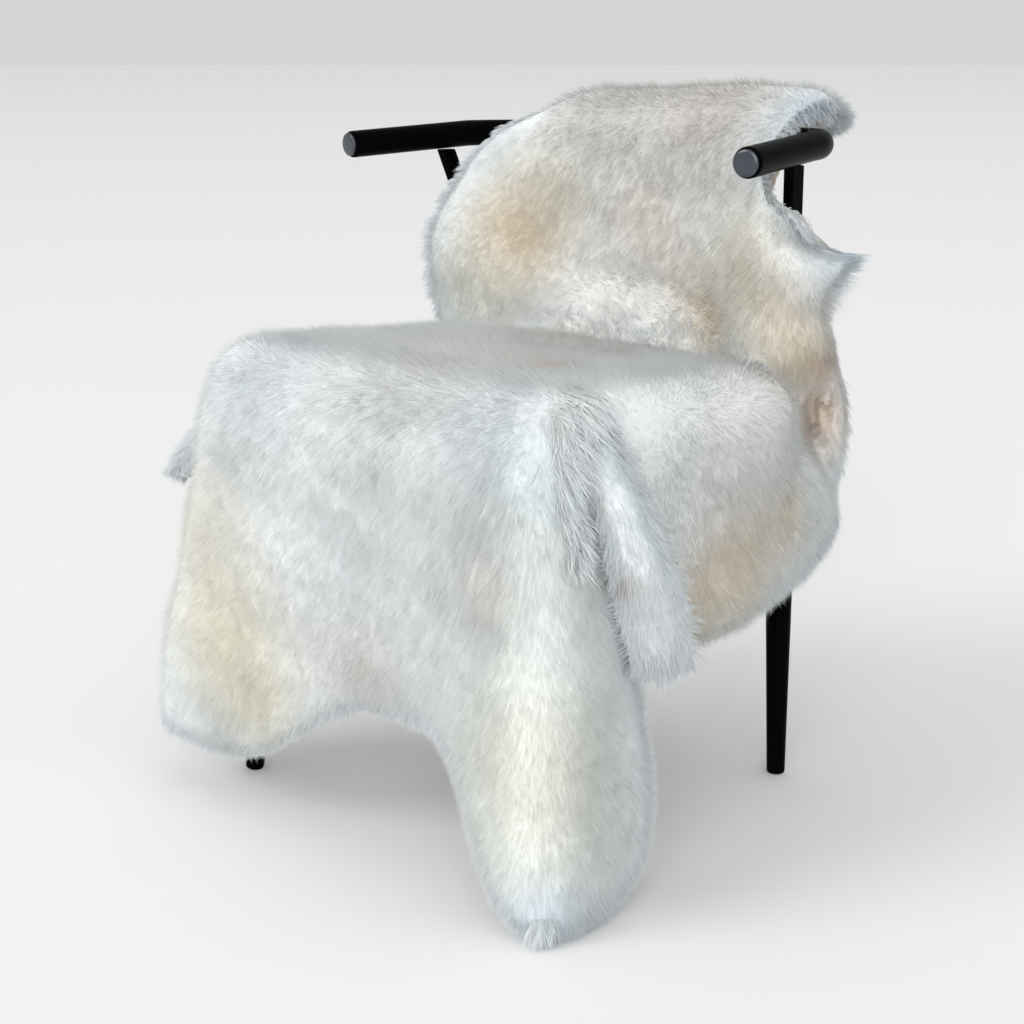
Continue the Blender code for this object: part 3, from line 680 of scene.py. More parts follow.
hideLook = {
    "pale": (0.62, 0.54, 0.43), "dark": (0.50, 0.41, 0.31),
    "spots": 26.0, "detail": 5, "spotsFrom": 0.32, "spotsTo": 0.68,
    "nap": 900.0, "napDetail": 2, "relief": 0.35, "depth": 0.0006,
    "roughness": 0.92, "sheen": 0.3,
}


# suede: broad uneven tan with a fine nap
def hideMaterial(values):
    material, nodes, links, shader = shaderOf("suede_hide")
    ramp = nodes.new("ShaderNodeValToRGB")
    ramp.color_ramp.elements[0].position = values["spotsFrom"]
    ramp.color_ramp.elements[0].color = (*values["dark"], 1)
    ramp.color_ramp.elements[1].position = values["spotsTo"]
    ramp.color_ramp.elements[1].color = (*values["pale"], 1)
    links.new(noiseNode(nodes, links, values["spots"], values["detail"]), ramp.inputs["Fac"])
    links.new(ramp.outputs["Color"], shader.inputs["Base Color"])
    addRelief(nodes, links, shader, noiseNode(nodes, links, values["nap"], values["napDetail"]), values)
    shader.inputs["Roughness"].default_value = values["roughness"]
    shader.inputs["Sheen Weight"].default_value = values["sheen"]
    return material


paintLook = {
    "colour": (0.0015, 0.0015, 0.002), "shine": 0.012, "smooth": 0.24, "rough": 0.34,
    "grain": 260.0, "detail": 4, "peel": 1400.0, "peelDetail": 2, "relief": 0.12, "depth": 0.0003,
}
# plug: a real gloss, and a dark blue-grey colour that is a painted bluish reflection
plugLook = {**paintLook, "colour": (0.016, 0.024, 0.036), "shine": 0.9, "smooth": 0.20, "rough": 0.28}


# satin black powder coat: roughness drifts a little, with a fine peel
def paintMaterial(name, values):
    material, nodes, links, shader = shaderOf(name)
    spread = nodes.new("ShaderNodeMapRange")
    spread.inputs["To Min"].default_value = values["smooth"]
    spread.inputs["To Max"].default_value = values["rough"]
    links.new(noiseNode(nodes, links, values["grain"], values["detail"]), spread.inputs["Value"])
    links.new(spread.outputs["Result"], shader.inputs["Roughness"])
    addRelief(nodes, links, shader, noiseNode(nodes, links, values["peel"], values["peelDetail"]), values)
    shader.inputs["Base Color"].default_value = (*values["colour"], 1)
    shader.inputs["Specular IOR Level"].default_value = values["shine"]
    return material


wool = woolMaterial("ivory_wool", woolLook)
fleece = woolMaterial("ivory_fleece", fleeceLook)
suede = hideMaterial(hideLook)
blackPaint = paintMaterial("satin_black", paintLook)
blackPlug = paintMaterial("polished_black_plug", plugLook)
print("materials made")

# the hide and the dense wool on it

undercoat = {
    "share": 0.80,                 # of the pile's height
    "broad": (0.0018, 0.048),      # height and size of its soft lumps
    "small": (0.0005, 0.016),
    "lift": 0.0004,                # above the hide
    "least": 0.002,
    "lowest": (0.009, 0.0075),     # above the floor, its top and its underside
    "inset": 0.008, "margin": 0.002,
    "tipShare": 0.5,               # of the tips' colour in its top
    "grid": (141, 85),
}


# shares along and across moved in so that 0 and 1 stop short of the rim by the inset
def insetShares(field, u, v, inset):
    length = readGrid(field["along"][-1:].repeat(2, 0), u * 0, v)[..., 0]
    wide = field["across"][:, -1:] - field["across"][:, :1]
    width = readGrid(wide.repeat(2, 1), u, v * 0)[..., 0]
    return 0.5 + (u - 0.5) * (1 - 2 * inset / length), 0.5 + (v - 0.5) * (1 - 2 * inset / width)


# the same for a grid of so many rows and columns
def insetGrid(field, rows, columns, inset):
    u = np.linspace(0, 1, rows)[:, None] * np.ones((1, columns))
    v = np.linspace(0, 1, columns)[None] * np.ones((rows, 1))
    return insetShares(field, u, v, inset)


# hide: the field's surface and the same raised by the hide's thickness, as a closed slab
def makeHide(name, field, rows, columns):
    u, v = insetGrid(field, rows, columns, skin["inset"])
    low = readGrid(field["hide"], u, v) + chairPlace
    top = low + skin["hide"] * unit(readGrid(field["normal"], u, v))
    top[..., 2] = np.maximum(top[..., 2], skin["lowest"][0])
    low[..., 2] = np.maximum(low[..., 2], skin["lowest"][1])
    return slab(name, top, low)


# how far the wool stands out or lies in at points of the hide: broad soft lumps with
# smaller ones on them
def woolLumps(points):
    broadHeight, broadSize = undercoat["broad"]
    smallHeight, smallSize = undercoat["small"]
    return broadHeight * drift(points, broadSize, 3) + smallHeight * drift(points, smallSize, 4)


# dense wool: from the hide up to a share of the pile, with its lumps
def makeUndercoat(name, field, rows, columns):
    u, v = insetGrid(field, rows, columns, undercoat["inset"])
    normal = unit(readGrid(field["normal"], u, v))
    low = readGrid(field["hide"], u, v) + chairPlace + (skin["hide"] + undercoat["lift"]) * normal
    height = readGrid(field["height"], u, v)[..., 0] * undercoat["share"] - skin["hide"]
    height = np.maximum(height, undercoat["least"])
    top = low + (height + woolLumps(low) * height / skin["pile"])[..., None] * normal
    top[..., 2] = np.maximum(top[..., 2], undercoat["lowest"][0])
    low[..., 2] = np.maximum(low[..., 2], undercoat["lowest"][1])
    mesh = slab(name, top, low)
    rim = readGrid(field["rim"], u, v).reshape(-1)
    tip, root = woolColour(top.reshape(-1, 3), rim)
    share = undercoat["tipShare"]
    paint(mesh, "tint", np.vstack([tip * share + root * (1 - share), root]))
    return mesh


hideMesh = makeHide("skin_hide", skinGrid, *skin["hideGrid"])
hidePiece = newPiece("skin_hide", hideMesh, suede, ["sheepskin_rug"])
print("skin_hide:", len(hideMesh.vertices), "points")
coatMesh = makeUndercoat("wool_undercoat", skinGrid, *undercoat["grid"])


# mesh added as a piece of the skin, which stands in for its solid
def addWool(mesh, material):
    piece = newPiece(mesh.name, mesh, material, ["sheepskin_rug"])
    print(mesh.name + ":", len(mesh.vertices), "points")


addWool(coatMesh, fleece)

# the wool's hairs

# count: hairs, steps: pieces along a hair, u and v: shares along and across the skin
hairs = {
    "wool_tail":         {"count": 50000, "steps": 1, "u": (0.00, 0.125), "v": (0.0, 1.0), "seed": 11},
    "wool_back":         {"count": 136000, "steps": 1, "u": (0.125, 0.42), "v": (0.0, 1.0), "seed": 12},
    "wool_seat":         {"count": 116000, "steps": 1, "u": (0.42, 0.70), "v": (0.0, 0.62), "seed": 13},
    "wool_side":         {"count": 105000, "steps": 1, "u": (0.42, 0.70), "v": (0.62, 1.0), "seed": 14},
    "wool_front_left":   {"count": 120000, "steps": 1, "u": (0.70, 1.0), "v": (0.0, 0.55), "seed": 15},
    "wool_front_right":  {"count": 128000, "steps": 1, "u": (0.70, 1.0), "v": (0.55, 1.0), "seed": 16},
}
hair = {
    "width": 0.00051, "rimWidth": 0.00070,
    "widths": (0.8, 0.4),                     # of the width: least, and what chance adds
    "taper": (0.9, 1.0, 0.75),                # of the width, along a hair
    "twist": 1.3,                             # radians, either way about the hair
    "lock": 0.011, "gather": 0.16,            # size of a lock, and how far tips go to its middle
    "wisp": 0.0036, "wispGather": 0.22,
    "start": 0.66, "over": 1.05,              # heights of root and tip, of the pile
    "uneven": 0.15, "leastRise": 0.2, "longest": 0.034,
    "loft": (0.3, 2),                         # gathered into locks: least, and what the tousle adds
    "edgeFrom": 0.5, "edgeCurve": 1.5,        # the rim's pull starts at this share of the hide's inset
    "relief": 0.16, "ruffle": 0.26, "grain": 0.10,  # how far the shading follows turns, locks and hairs
    "shade": 0.04, "wispShade": 0.05,         # how much hairs and wisps differ
    "fade": 0.8,                              # colour from root to tip: share of the length to this power
    "lowest": 0.0015, "edgesLowest": 0.001,   # above the floor
}
lay = {
    "weightless": 0.7,                        # a direction shorter than this leaves hairs more upright
    "swirl": 0.055, "eddy": 0.022, "eddyShare": 0.5,  # sizes of the broad turns of the wool
    "lockTurn": 0.8, "wispTurn": 0.6, "loose": 0.13,
    "calm": 0.7, "rimLean": 0.6,              # at the rim: turns taken away, lean added
    "root": (1.0, 0.45), "tip": (0.55, 1.20),  # shares of the skin's normal and of the lie
    "curl": 1.6,
}


# roots spread evenly by area: cells are drawn by their area, then a place in the cell
def rootPlaces(field, limits, count, rng):
    rows, columns = field["hide"].shape[:2]
    firstRow, lastRow = (int(round(share * (rows - 1))) for share in limits["u"])
    firstColumn, lastColumn = (int(round(share * (columns - 1))) for share in limits["v"])
    patch = field["hide"][firstRow:lastRow + 1, firstColumn:lastColumn + 1]
    area = np.linalg.norm(np.cross(np.diff(patch, axis=0)[:, :-1], np.diff(patch, axis=1)[:-1]), axis=2)
    rim = field["rim"][firstRow:lastRow, firstColumn:lastColumn, 0]
    area = area * (rim > undercoat["inset"] - undercoat["margin"])
    chosen = rng.choice(area.size, size=count, p=area.ravel() / area.sum())
    i, j = np.unravel_index(chosen, area.shape)
    u = (firstRow + i + rng.random(count)) / (rows - 1)
    v = (firstColumn + j + rng.random(count)) / (columns - 1)
    return u, v


# offset along the skin from each root to the middle of the nearest lock: the locks'
# middles stand in square cells, each moved in its cell, and the nearest of nine counts
def lockOffset(along, across, size, seed):
    i = np.floor(along / size)
    j = np.floor(across / size)
    best = np.full(len(along), np.inf)
    offset = np.zeros((len(along), 2))
    mark = np.zeros((len(along), 2))
    for di in (-1, 0, 1):
        for dj in (-1, 0, 1):
            ci, cj = i + di, j + dj
            away = np.stack([
                (ci + scatter(ci, cj, seed)) * size - along,
                (cj + scatter(ci, cj, seed + 1)) * size - across,
            ], 1)
            far = (away**2).sum(1)
            nearer = far < best
            best[nearer] = far[nearer]
            offset[nearer] = away[nearer]
            mark[nearer] = np.stack([ci, cj], 1)[nearer]
    return offset, mark


# flat blades along lines of points, each with its width direction and colours from root
# to tip; every blade ends in a point and is shaded as the wool around it
def bladeMesh(name, line, normal, facing, low, tip, width, rng):
    count, steps = line.shape[0], line.shape[1] - 1
    forward = unit(np.gradient(line, axis=1))
    flatwise = unit(np.cross(forward, normal[:, None]))
    edgewise = np.cross(forward, flatwise)
    twist = (rng.random(count) * 2 - 1) * hair["twist"]
    across = np.cos(twist)[:, None, None] * flatwise + np.sin(twist)[:, None, None] * edgewise
    taper = np.array(hair["taper"])[:steps]
    least, more = hair["widths"]
    half = width / 2 * taper[None, :, None] * (least + more * rng.random(count))[:, None, None]
    left = line[:, :-1] - across[:, :-1] * half
    right = line[:, :-1] + across[:, :-1] * half
    points = np.concatenate([np.stack([left, right], 2).reshape(count, -1, 3), line[:, -1:]], axis=1)
    points[..., 2] = np.maximum(points[..., 2], hair["edgesLowest"])
    perHair = 2 * steps + 1
    base = (np.arange(count) * perHair)[:, None]
    quads = [index for s in range(steps - 1) for index in (2 * s, 2 * s + 1, 2 * s + 3, 2 * s + 2)]
    pattern = np.array(quads + [perHair - 3, perHair - 2, perHair - 1])
    loops = (base + pattern[None]).ravel()
    sizes = np.tile(np.concatenate([np.full(steps - 1, 4), [3]]), count)
    mesh = newMesh(name, points.reshape(-1, 3), loops, sizes, np.repeat(facing, perHair, axis=0))
    level = np.concatenate([np.repeat(np.arange(steps) / steps, 2), [1.0]]) ** hair["fade"]
    colours = low[:, None] * (1 - level)[None, :, None] + tip[:, None] * level[None, :, None]
    paint(mesh, "tint", np.clip(colours, 0, 1).reshape(-1, 3))
    return mesh


# broad turns of the wool at points: a large drift and a share of a smaller one
def broadTurns(points, seed):
    return drift(points, lay["swirl"], seed) + lay["eddyShare"] * drift(points, lay["eddy"], seed + 1)


# turns of each lock and each wisp, between plus and minus half of their settings
def lockTurns(lock, wisp, seed):
    ofLock = (scatter(*lock.T, seed) - 0.5) * lay["lockTurn"]
    return ofLock + (scatter(*wisp.T, seed + 1) - 0.5) * lay["wispTurn"]


# one hair: from its root its direction turns from nearly upright to the way the wool
# lies, while its lock and wisp draw it in
def growHairs(name, field, limits, edging, flowSign):
    rng = np.random.default_rng(limits["seed"])
    count, steps = limits["count"], limits["steps"]
    u, v = rootPlaces(field, limits, count, rng)
    read = {key: readGrid(values, u, v) for key, values in field.items()}
    normal = unit(read["normal"])
    full = read["height"][:, 0]
    hide = read["hide"] + chairPlace
    full = full + woolLumps(hide) * full / skin["pile"]
    root = hide + (full * hair["start"])[:, None] * normal
    rim = read["rim"][:, 0]
    edge = 1 - (rim - skin["inset"] * hair["edgeFrom"]) / edging["rimReach"]
    edge = np.clip(edge, 0, 1) ** hair["edgeCurve"]
    flow = read["lengthwise"] * flowSign(u)[:, None]
    direction, lean, tousle = woolLie(root, normal, flow)
    direction += (edge * edging["rimPull"])[:, None] * read["outwards"]
    direction = direction / np.maximum(np.linalg.norm(direction, axis=1), lay["weightless"])[:, None]
    along, across = read["along"][:, 0], read["across"][:, 0]
    lockAway, lock = lockOffset(along, across, hair["lock"], limits["seed"])
    wispAway, wisp = lockOffset(along, across, hair["wisp"], limits["seed"] + 5)
    ruffleA = lockTurns(lock, wisp, 7)
    ruffleB = lockTurns(lock, wisp, 9)
    loose = rng.normal(size=(count, 2)) * lay["loose"]
    calm = 1 - lay["calm"] * edge
    turnA = (tousle * calm * (broadTurns(root, 21) + ruffleA) + loose[:, 0])[:, None] * read["lengthwise"]
    turnB = (tousle * calm * (broadTurns(root, 23) + ruffleB) + loose[:, 1])[:, None] * read["crosswise"]
    lying = (lean * (1 + lay["rimLean"] * edge))[:, None] * direction + turnA + turnB
    first = unit(lay["root"][0] * normal + lay["root"][1] * lying)
    last = unit(lay["tip"][0] * normal + lay["tip"][1] * lying)
    shares = (np.arange(steps) + 0.5) / steps
    headings = [unit(first * (1 - share) + last * share) for share in shares]
    rise = sum((heading * normal).sum(1) for heading in headings) / steps
    height = full * (hair["over"] - hair["start"])
    spread = 1 + hair["uneven"] * (rng.normal(size=count) + scatter(*lock.T, 12) - 0.5)
    length = np.minimum(height * spread / np.maximum(rise, hair["leastRise"]), hair["longest"])
    least, more = hair["loft"]
    loft = np.clip(least + more * tousle, 0, 1)
    draw = (calm * loft)[:, None] * (hair["gather"] * lockAway + hair["wispGather"] * wispAway)
    gathered = draw[:, :1] * read["lengthwise"] + draw[:, 1:] * read["crosswise"]
    line = [root]
    place = root
    for step, heading in enumerate(headings):
        place = place + heading * (length / steps)[:, None]
        line.append(place + gathered * ((step + 1) / steps) ** lay["curl"])
    line = np.stack(line, 1)
    line[..., 2] = np.maximum(line[..., 2], hair["lowest"])
    ruffle = hair["ruffle"] * loft
    ruffled = (ruffle * ruffleA)[:, None] * read["lengthwise"]
    ruffled = ruffled + (ruffle * ruffleB)[:, None] * read["crosswise"]
    uneven = rng.normal(size=(count, 3)) * hair["grain"]
    facing = unit(normal + hair["relief"] * (turnA + turnB) + ruffled + uneven)
    tip, low = woolColour(root, rim)
    shade = 1 + hair["shade"] * rng.normal(size=count) + hair["wispShade"] * (scatter(*wisp.T, 15) - 0.5)
    shade = shade[:, None]
    return bladeMesh(name, line, normal, facing, low * shade, tip * shade, hair["width"], rng)


rimLook = {
    "high": 0.85, "crowd": 0.8,               # roots reach this share of the pile, more of them high
    "above": 0.001,                           # above the hide
    "middle": (0.3, 0.4), "apart": 0.6,       # where in its cell a lock's middle may stand, and how far off
    "length": (0.70, 0.5),                    # of the reach: least, and what a lock may add
    "point": (1.05, 0.5),                     # of the length: in a lock's middle, and lost towards its sides
    "uneven": 0.18, "loose": 0.10,
    "level": 0.45, "fan": 0.7,                # wool above this level of the rim bends up, below it down
    "followOn": 0.3, "droop": 0.35,
    "bendIn": 0.15, "tipIn": 0.42,            # how far the locks draw together, half way and at the tip
    "facing": (0.25, 0.7),                    # shading: least share of the skin's normal, and of the way out
    "shade": 0.05,
}


# wool that stands out from the rim: its roots stand on the undercoat's edge from the hide
# up, it is drawn into pointed locks, and the middle of each lock is longest
def growRim(name, field, values):
    rng = np.random.default_rng(values["seed"])
    count = values["count"]
    share = rng.random(count)
    side = rng.choice(4, size=count, p=values["sides"])
    u = np.select([side == 0, side == 1], [share * 0, share * 0 + 1], share)
    v = np.select([side == 2, side == 3], [share * 0, share * 0 + 1], share)
    u, v = insetShares(field, u, v, undercoat["inset"] + rng.random(count) * undercoat["margin"])
    read = {key: readGrid(grid, u, v) for key, grid in field.items()}
    normal = unit(read["normal"])
    out = unit(read["outwards"])
    tangent = np.cross(normal, out)
    up = rng.random(count) ** rimLook["crowd"]
    risen = read["height"] * (rimLook["high"] * up)[:, None] + rimLook["above"]
    root = read["hide"] + chairPlace + risen * normal
    place = np.where(side < 2, read["across"][:, 0], read["along"][:, 0])
    cell = np.floor(place / values["lock"])
    least, more = rimLook["middle"]
    middle = (cell + least + more * scatter(cell, side, 3)) * values["lock"]
    away = np.clip((middle - place) / values["lock"], -rimLook["apart"], rimLook["apart"])
    turned = np.where((side == 0) | (side == 3), -1.0, 1.0) * away * values["lock"]
    least, more = rimLook["length"]
    reach = values["reach"] * (least + more * scatter(cell, side, 5))
    most, lost = rimLook["point"]
    reach = reach * (most - lost * np.abs(away))
    reach = reach * (1 + rimLook["uneven"] * rng.normal(size=count))
    bend = (up - rimLook["level"])[:, None] * normal * rimLook["fan"]
    bend = bend + rng.normal(size=(count, 3)) * rimLook["loose"]
    first = unit(out + bend)
    last = unit(out + rimLook["followOn"] * bend - np.array((0, 0, rimLook["droop"])))
    middlePoint = root + first * (reach / 2)[:, None]
    tipPoint = middlePoint + last * (reach / 2)[:, None] + (rimLook["tipIn"] * turned)[:, None] * tangent
    line = np.stack([root, middlePoint + (rimLook["bendIn"] * turned)[:, None] * tangent, tipPoint], 1)
    line[..., 2] = np.maximum(line[..., 2], hair["lowest"])
    least, outShare = rimLook["facing"]
    loose = rng.normal(size=(count, 3)) * rimLook["loose"]
    facing = unit((least + up)[:, None] * normal + outShare * out + loose)
    tip, low = woolColour(root, read["rim"][:, 0])
    shade = (1 + rimLook["shade"] * rng.normal(size=count))[:, None]
    return bladeMesh(name, line, normal, facing, low * shade, tip * shade, hair["rimWidth"], rng)


turning = {"at": 0.11, "within": 0.03}    # shares of the skin's length, from the tail's hem


# on the tail, behind the rail, the wool hangs the other way along the skin
def skinFlow(u):
    return np.clip((u - turning["at"]) / turning["within"], -1, 1)


for hairName, hairLimits in hairs.items():
    addWool(growHairs(hairName, skinGrid, hairLimits, grooming, skinFlow), wool)

# sides: share of the rim's hairs on the tail hem, the front hem, the left and the right
rimWool = {"count": 42000, "seed": 41, "lock": 0.009, "reach": 0.016, "sides": (0.06, 0.20, 0.35, 0.39)}
addWool(growRim("wool_rim", skinGrid, rimWool), wool)

# lines of tufts where one fold of the skin rises in front of another: places along each
# line, and the way its wool points
tuftLines = {
    "bulge": {
        "places": ((0.060, 0.125, 0.492), (0.125, 0.115, 0.499), (0.190, 0.090, 0.503),
                   (0.245, 0.058, 0.503), (0.275, 0.042, 0.488)),
        "to": (0.35, 0.10, 0.45), "facing": (0.40, -0.50, 1.10),
        "count": 2400, "reach": 0.010, "spread": 0.015, "seed": 51,
    },
    "crease": {
        "places": ((-0.200, 0.140, 0.505), (-0.060, 0.160, 0.500), (0.030, 0.160, 0.500),
                   (0.110, 0.155, 0.505)),
        "to": (0.05, -0.20, 1.00), "facing": (0.35, -0.75, 0.60),
        "count": 3000, "reach": 0.011, "spread": 0.026, "seed": 52,
    },
    "shoulder": {
        "places": ((0.205, -0.160, 0.492), (0.225, -0.190, 0.490), (0.245, -0.222, 0.478),
                   (0.260, -0.235, 0.455)),
        "to": (0.60, 0.02, -0.75), "facing": (0.25, -1.10, 0.45),
        "count": 5500, "reach": 0.038, "spread": 0.012, "seed": 53,
    },
    "groove": {
        "places": ((0.262, -0.240, 0.450), (0.270, -0.240, 0.410), (0.276, -0.238, 0.365)),
        "to": (0.45, 0.05, -0.90), "facing": (0.35, -1.20, 0.35),
        "count": 3000, "reach": 0.026, "spread": 0.008, "seed": 54,
    },
    "lobe tip": {
        "places": ((0.284, -0.299, 0.020), (0.300, -0.296, 0.020)),
        "to": (0.05, -0.30, -1.00), "facing": (0.10, -1.00, 0.30),
        "count": 1100, "reach": 0.024, "spread": 0.004, "seed": 55,
    },
}
tuftLook = {
    "high": 0.8, "lock": 0.007, "swerve": 0.8, "raised": 0.25, "loose": 0.20,
    "length": (0.45, 0.8), "uneven": 0.20,    # of the reach: least, and what a lock may add
    "gather": 0.45, "halfWay": 0.25, "atTip": 0.75, "droop": 0.30,
    "facing": (0.5, 0.4),                     # shading: shares of the skin's normal and of the swerve
    "white": 0.7, "shade": 0.05,
    "squash": (0.6, 0.6, 0.3),                # of the spread, along x, y and z
    "shared": 10,                             # hairs that start from one place on the grid
}


# wool along a line on the skin: roots spread beside it, their nearest place on the grid
# found, and tips drawn into pointed locks
def growTufts(name, field, values):
    rng = np.random.default_rng(values["seed"])
    count = values["count"]
    places = np.array(values["places"])
    reached = np.concatenate([[0], np.cumsum(np.linalg.norm(np.diff(places, axis=0), axis=1))])
    at = rng.random(count) * reached[-1]
    middle = np.stack([np.interp(at, reached, column) for column in places.T], 1)
    wanted = middle + rng.normal(size=(count, 3)) * values["spread"] * tuftLook["squash"]
    surface = field["hide"].reshape(-1, 3) + (field["height"] * field["normal"]).reshape(-1, 3)
    shared = tuftLook["shared"]
    cells = np.array([np.argmin(((surface - place) ** 2).sum(1)) for place in wanted[::shared]])
    rows, columns = field["rim"].shape[:2]
    i, j = np.unravel_index(np.repeat(cells, shared)[:count], (rows, columns))
    u = (i + rng.random(count) * 2 - 1) / (rows - 1)
    v = (j + rng.random(count) * 2 - 1) / (columns - 1)
    read = {key: readGrid(grid, u, v) for key, grid in field.items()}
    normal = unit(read["normal"])
    root = read["hide"] + chairPlace + read["height"] * tuftLook["high"] * normal
    away, wisp = lockOffset(read["along"][:, 0], read["across"][:, 0], tuftLook["lock"], values["seed"])
    to = unit(np.array(values["to"]))
    swerve = (scatter(*wisp.T, 3) - 0.5)[:, None] * tuftLook["swerve"] * read["lengthwise"]
    swerve += (scatter(*wisp.T, 4) - 0.5)[:, None] * tuftLook["swerve"] * read["crosswise"]
    loose = rng.normal(size=(count, 3)) * tuftLook["loose"]
    heading = unit(to + tuftLook["raised"] * normal + swerve + loose)
    least, more = tuftLook["length"]
    reach = values["reach"] * (least + more * scatter(*wisp.T, 5))
    reach = reach * (1 + tuftLook["uneven"] * rng.normal(size=count))
    gathered = tuftLook["gather"] * (away[:, :1] * read["lengthwise"] + away[:, 1:] * read["crosswise"])
    half = root + heading * (reach * 0.5)[:, None] + tuftLook["halfWay"] * gathered
    bent = unit(heading - np.array((0, 0, tuftLook["droop"])))
    end = half + bent * (reach * 0.5)[:, None] + tuftLook["atTip"] * gathered
    line = np.stack([root, half, end], 1)
    loose = rng.normal(size=(count, 3)) * hair["grain"]
    normalShare, swerveShare = tuftLook["facing"]
    facing = unit(normalShare * normal + np.array(values["facing"]) + swerveShare * swerve + loose)
    tip, low = woolColour(root, read["rim"][:, 0])
    white = tuftLook["white"]
    tip = tip * (1 - white) + np.array(woolBase["tip"]) * white
    low = low * (1 - white) + np.array(woolBase["root"]) * white
    shade = (1 + tuftLook["shade"] * rng.normal(size=count))[:, None]
    return bladeMesh(name, line, normal, facing, low * shade, tip * shade, hair["rimWidth"], rng)


for tuftName, tuftValues in tuftLines.items():
    addWool(growTufts("tufts_" + tuftName.replace(" ", "_"), skinGrid, tuftValues), wool)


# on a tongue the wool lies along it to its tip everywhere
def tongueFlow(u):
    return np.ones_like(u)


tongueHairs = {
    "right": {"count": 9000, "steps": 2, "u": (0.04, 1.0), "v": (0.0, 1.0), "seed": 31},
    "left": {"count": 3000, "steps": 2, "u": (0.04, 1.0), "v": (0.0, 1.0), "seed": 32},
}
tongueRims = {
    "right": {"count": 3600, "seed": 43, "lock": 0.011, "reach": 0.026, "sides": (0.0, 0.34, 0.33, 0.33)},
    "left": {"count": 1500, "seed": 44, "lock": 0.007, "reach": 0.016, "sides": (0.0, 0.30, 0.35, 0.35)},
}
for hairSide, hairLimits in tongueHairs.items():
    tongueGrid = tongueGrids[hairSide]
    addWool(makeHide("tongue_hide_" + hairSide, tongueGrid, *tongue["hideGrid"]), suede)
    addWool(makeUndercoat("tongue_coat_" + hairSide, tongueGrid, *tongue["coatGrid"]), fleece)
    addWool(growHairs("wool_tongue_" + hairSide, tongueGrid, hairLimits, tongueGrooming, tongueFlow), wool)
    addWool(growRim("wool_tongue_rim_" + hairSide, tongueGrid, tongueRims[hairSide]), wool)

# the chair


# rail: a tube along its path, its ends rounded off by a quarter of an ellipse
def makeRail():
    path = railPath(rail["steps"])
    step = unit(path[1] - path[0])
    rounding = np.array(rail["endSteps"]) * rail["endRound"]
    ends = path[0] + step * rounding[:, None]
    shares = np.sqrt(1 - (1 - rounding / rail["endRound"]) ** 2) * (1 - rail["endFlat"]) + rail["endFlat"]
    body = path[1:-1]
    mirrored = (ends * (-1, 1, 1))[::-1]
    whole = np.vstack([ends, body, mirrored]) + chairPlace
    radii = np.concatenate([shares, np.ones(len(body)), shares[::-1]]) * rail["radius"]
    return tube("rail_tube", whole, radii, rail["sides"])


leg = {
    "footRadius": 0.0105, "topRadius": 0.0190,
    "frontFoot": (0.239, -0.211), "frontTop": (0.172, -0.155),
    "rearFoot": (0.222, 0.190), "rearTop": (0.200, 0.205),
    "levels": (0.0, 0.003, 0.010, 0.5, 0.985, 0.997, 1.0),   # shares of the height
    "rounding": (0.84, 0.96, 1.0, 1.0, 1.0, 1.0, 0.92),      # of the radius at each level
    "gap": 0.0006,                                           # under the seat
    "sides": 40,
}


# leg: a straight tube from foot to top that widens evenly, its ends rounded off and level
def makeLeg(name, foot, top):
    height = seatTop - seatThickness - leg["gap"]
    share = np.array(leg["levels"])
    radius = (leg["footRadius"] + (leg["topRadius"] - leg["footRadius"]) * share) * leg["rounding"]
    low = np.array((*foot, 0.0))
    high = np.array((*top, height))
    path = low + share[:, None] * (high - low) + chairPlace
    mesh = tube(name, path, radius, leg["sides"])
    points = np.empty(len(mesh.vertices) * 3, dtype=np.float32)
    mesh.vertices.foreach_get("co", points)
    points[2::3] = np.clip(points[2::3], 0, height)
    mesh.vertices.foreach_set("co", points)
    return mesh


railPlug = {
    "share": 0.86, "proud": 0.0014, "deep": 0.006,
    "steps": (0.0, 0.10, 0.35, 1.0, 1.2),          # inwards from the dome's top, of its height
    "radii": (0.45, 0.75, 0.93, 1.0, 1.0, 0.96),   # at those steps and at the plug's end
}


# plug in the rail's open end: a low dome, its edge rounded off in four steps
def makeRailPlug(name, sideSign):
    path = railPath(rail["steps"]) * (sideSign, 1, 1)
    inwards = unit(path[1] - path[0])
    step = np.array(railPlug["steps"]) * railPlug["proud"] - railPlug["proud"]
    reach = np.concatenate([step, [railPlug["deep"]]])
    radii = np.array(railPlug["radii"]) * railPlug["share"] * rail["radius"]
    return tube(name, path[0] + reach[:, None] * inwards + chairPlace, radii, rail["sides"])


newPiece("rail_tube", makeRail(), blackPaint, ["chair_rail"])
for sideSign, sideName in ((1, "right"), (-1, "left")):
    plugName = "rail_plug_" + sideName
    newPiece(plugName, makeRailPlug(plugName, sideSign), blackPlug, ["chair_rail"])
for sideSign, sideName in ((-1, "left"), (1, "right")):
    for end in ("front", "rear"):
        foot = (sideSign * leg[end + "Foot"][0], leg[end + "Foot"][1])
        top = (sideSign * leg[end + "Top"][0], leg[end + "Top"][1])
        legName = end + "_leg_" + sideName
        legNode = "leg_" + end + "_" + sideName
        newPiece(legName, makeLeg(legName, foot, top), blackPaint, [legNode])
for nodeName in ("chair_seat", "post_left", "post_right"):
    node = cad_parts[nodeName]
    node.data.materials.clear()
    node.data.materials.append(blackPaint)
print("chair pieces made")

# studio: a pale floor and soft light

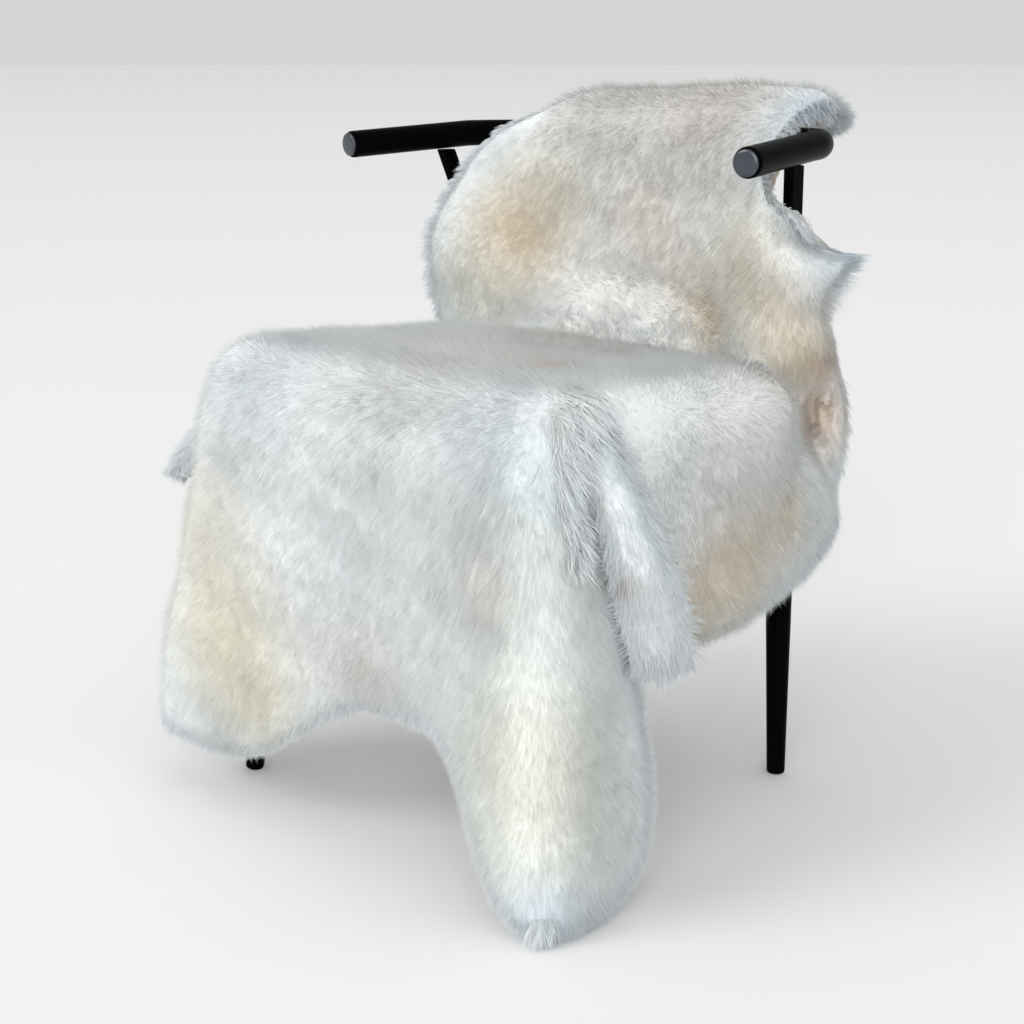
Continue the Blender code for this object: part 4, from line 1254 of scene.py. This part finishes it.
studio = {
    # floor and farFloor: a painted pool of light, paler near the chair than far off
    "floor": (0.95, 0.95, 0.95), "farFloor": (0.72, 0.72, 0.72), "halfway": 9.0,
    "floorSize": 4000.0, "floorRoughness": 0.8,
    "horizon": (0.66, 0.66, 0.66), "horizonTo": 0.04, "low": (0.48, 0.48, 0.48), "lowAt": 0.14,
    "sky": (0.75, 0.75, 0.75), "skyTo": 0.9,
}
suns = {
    "key":  {"strength": 0.9, "angle": 30.0, "from": (-0.45, -0.85, 0.62)},
    "fill": {"strength": 1.95, "angle": 55.0, "from": (0.56, -0.80, 0.20)},
}


# value from two others, or from one and a number
def mathNode(nodes, links, operation, first, second):
    node = nodes.new("ShaderNodeMath")
    node.operation = operation
    for socket, value in zip(node.inputs, (first, second)):
        if isinstance(value, float):
            socket.default_value = value
        else:
            links.new(value, socket)
    return node.outputs[0]


# colour from the first to the second as the value goes from 0 to 1
def rampNode(nodes, links, value, first, second):
    ramp = nodes.new("ShaderNodeValToRGB")
    ramp.color_ramp.elements[0].color = (*first, 1)
    ramp.color_ramp.elements[1].color = (*second, 1)
    links.new(value, ramp.inputs["Fac"])
    return ramp.outputs["Color"]


# floor: a painted pool of light, paler near the chair and darker far off, its near colour's share 1 / (1 +
# distance / halfway)
def makeFloor(values):
    half = values["floorSize"] / 2
    points = np.array([(-half, -half, 0), (half, -half, 0), (half, half, 0), (-half, half, 0)])
    mesh = newMesh("floor", points, np.arange(4), np.array([4]))
    item = bpy.data.objects.new("floor", mesh)
    bpy.context.scene.collection.objects.link(item)
    material, nodes, links, shader = shaderOf("pale_floor")
    place = nodes.new("ShaderNodeTexCoord")
    away = nodes.new("ShaderNodeVectorMath")
    away.operation = "LENGTH"
    links.new(place.outputs["Object"], away.inputs[0])
    far = mathNode(nodes, links, "MULTIPLY", away.outputs["Value"], 1 / values["halfway"])
    near = mathNode(nodes, links, "DIVIDE", 1.0, mathNode(nodes, links, "ADD", far, 1.0))
    colour = rampNode(nodes, links, near, values["farFloor"], values["floor"])
    links.new(colour, shader.inputs["Base Color"])
    shader.inputs["Roughness"].default_value = values["floorRoughness"]
    shader.inputs["Specular IOR Level"].default_value = 0.0
    mesh.materials.append(material)


# sky: a colour by height, dimmer in a band above the horizon
def makeLight(values):
    world = bpy.data.worlds.new("studio")
    bpy.context.scene.world = world
    world.use_nodes = True
    nodes, links = world.node_tree.nodes, world.node_tree.links
    place = nodes.new("ShaderNodeTexCoord")
    split = nodes.new("ShaderNodeSeparateXYZ")
    links.new(place.outputs["Generated"], split.inputs[0])
    ramp = nodes.new("ShaderNodeValToRGB")
    low, high = ramp.color_ramp.elements
    low.color = (*values["horizon"], 1)
    low.position = values["horizonTo"]
    high.color = (*values["sky"], 1)
    high.position = values["skyTo"]
    middle = ramp.color_ramp.elements.new(values["lowAt"])
    middle.color = (*values["low"], 1)
    links.new(split.outputs["Z"], ramp.inputs["Fac"])
    links.new(ramp.outputs["Color"], nodes["Background"].inputs["Color"])


# sun: soft light from a direction, turned by that direction's two angles
def makeSun(name, values):
    data = bpy.data.lights.new(name, "SUN")
    data.energy = values["strength"]
    data.angle = math.radians(values["angle"])
    item = bpy.data.objects.new(name, data)
    bpy.context.scene.collection.objects.link(item)
    x, y, z = values["from"]
    item.rotation_euler = (math.atan2(math.hypot(x, y), z), 0, math.atan2(x, -y))


makeFloor(studio)
makeLight(studio)
for sunName, sunValues in suns.items():
    makeSun(sunName, sunValues)
bpy.context.scene.view_settings.view_transform = "Standard"
print("studio made")
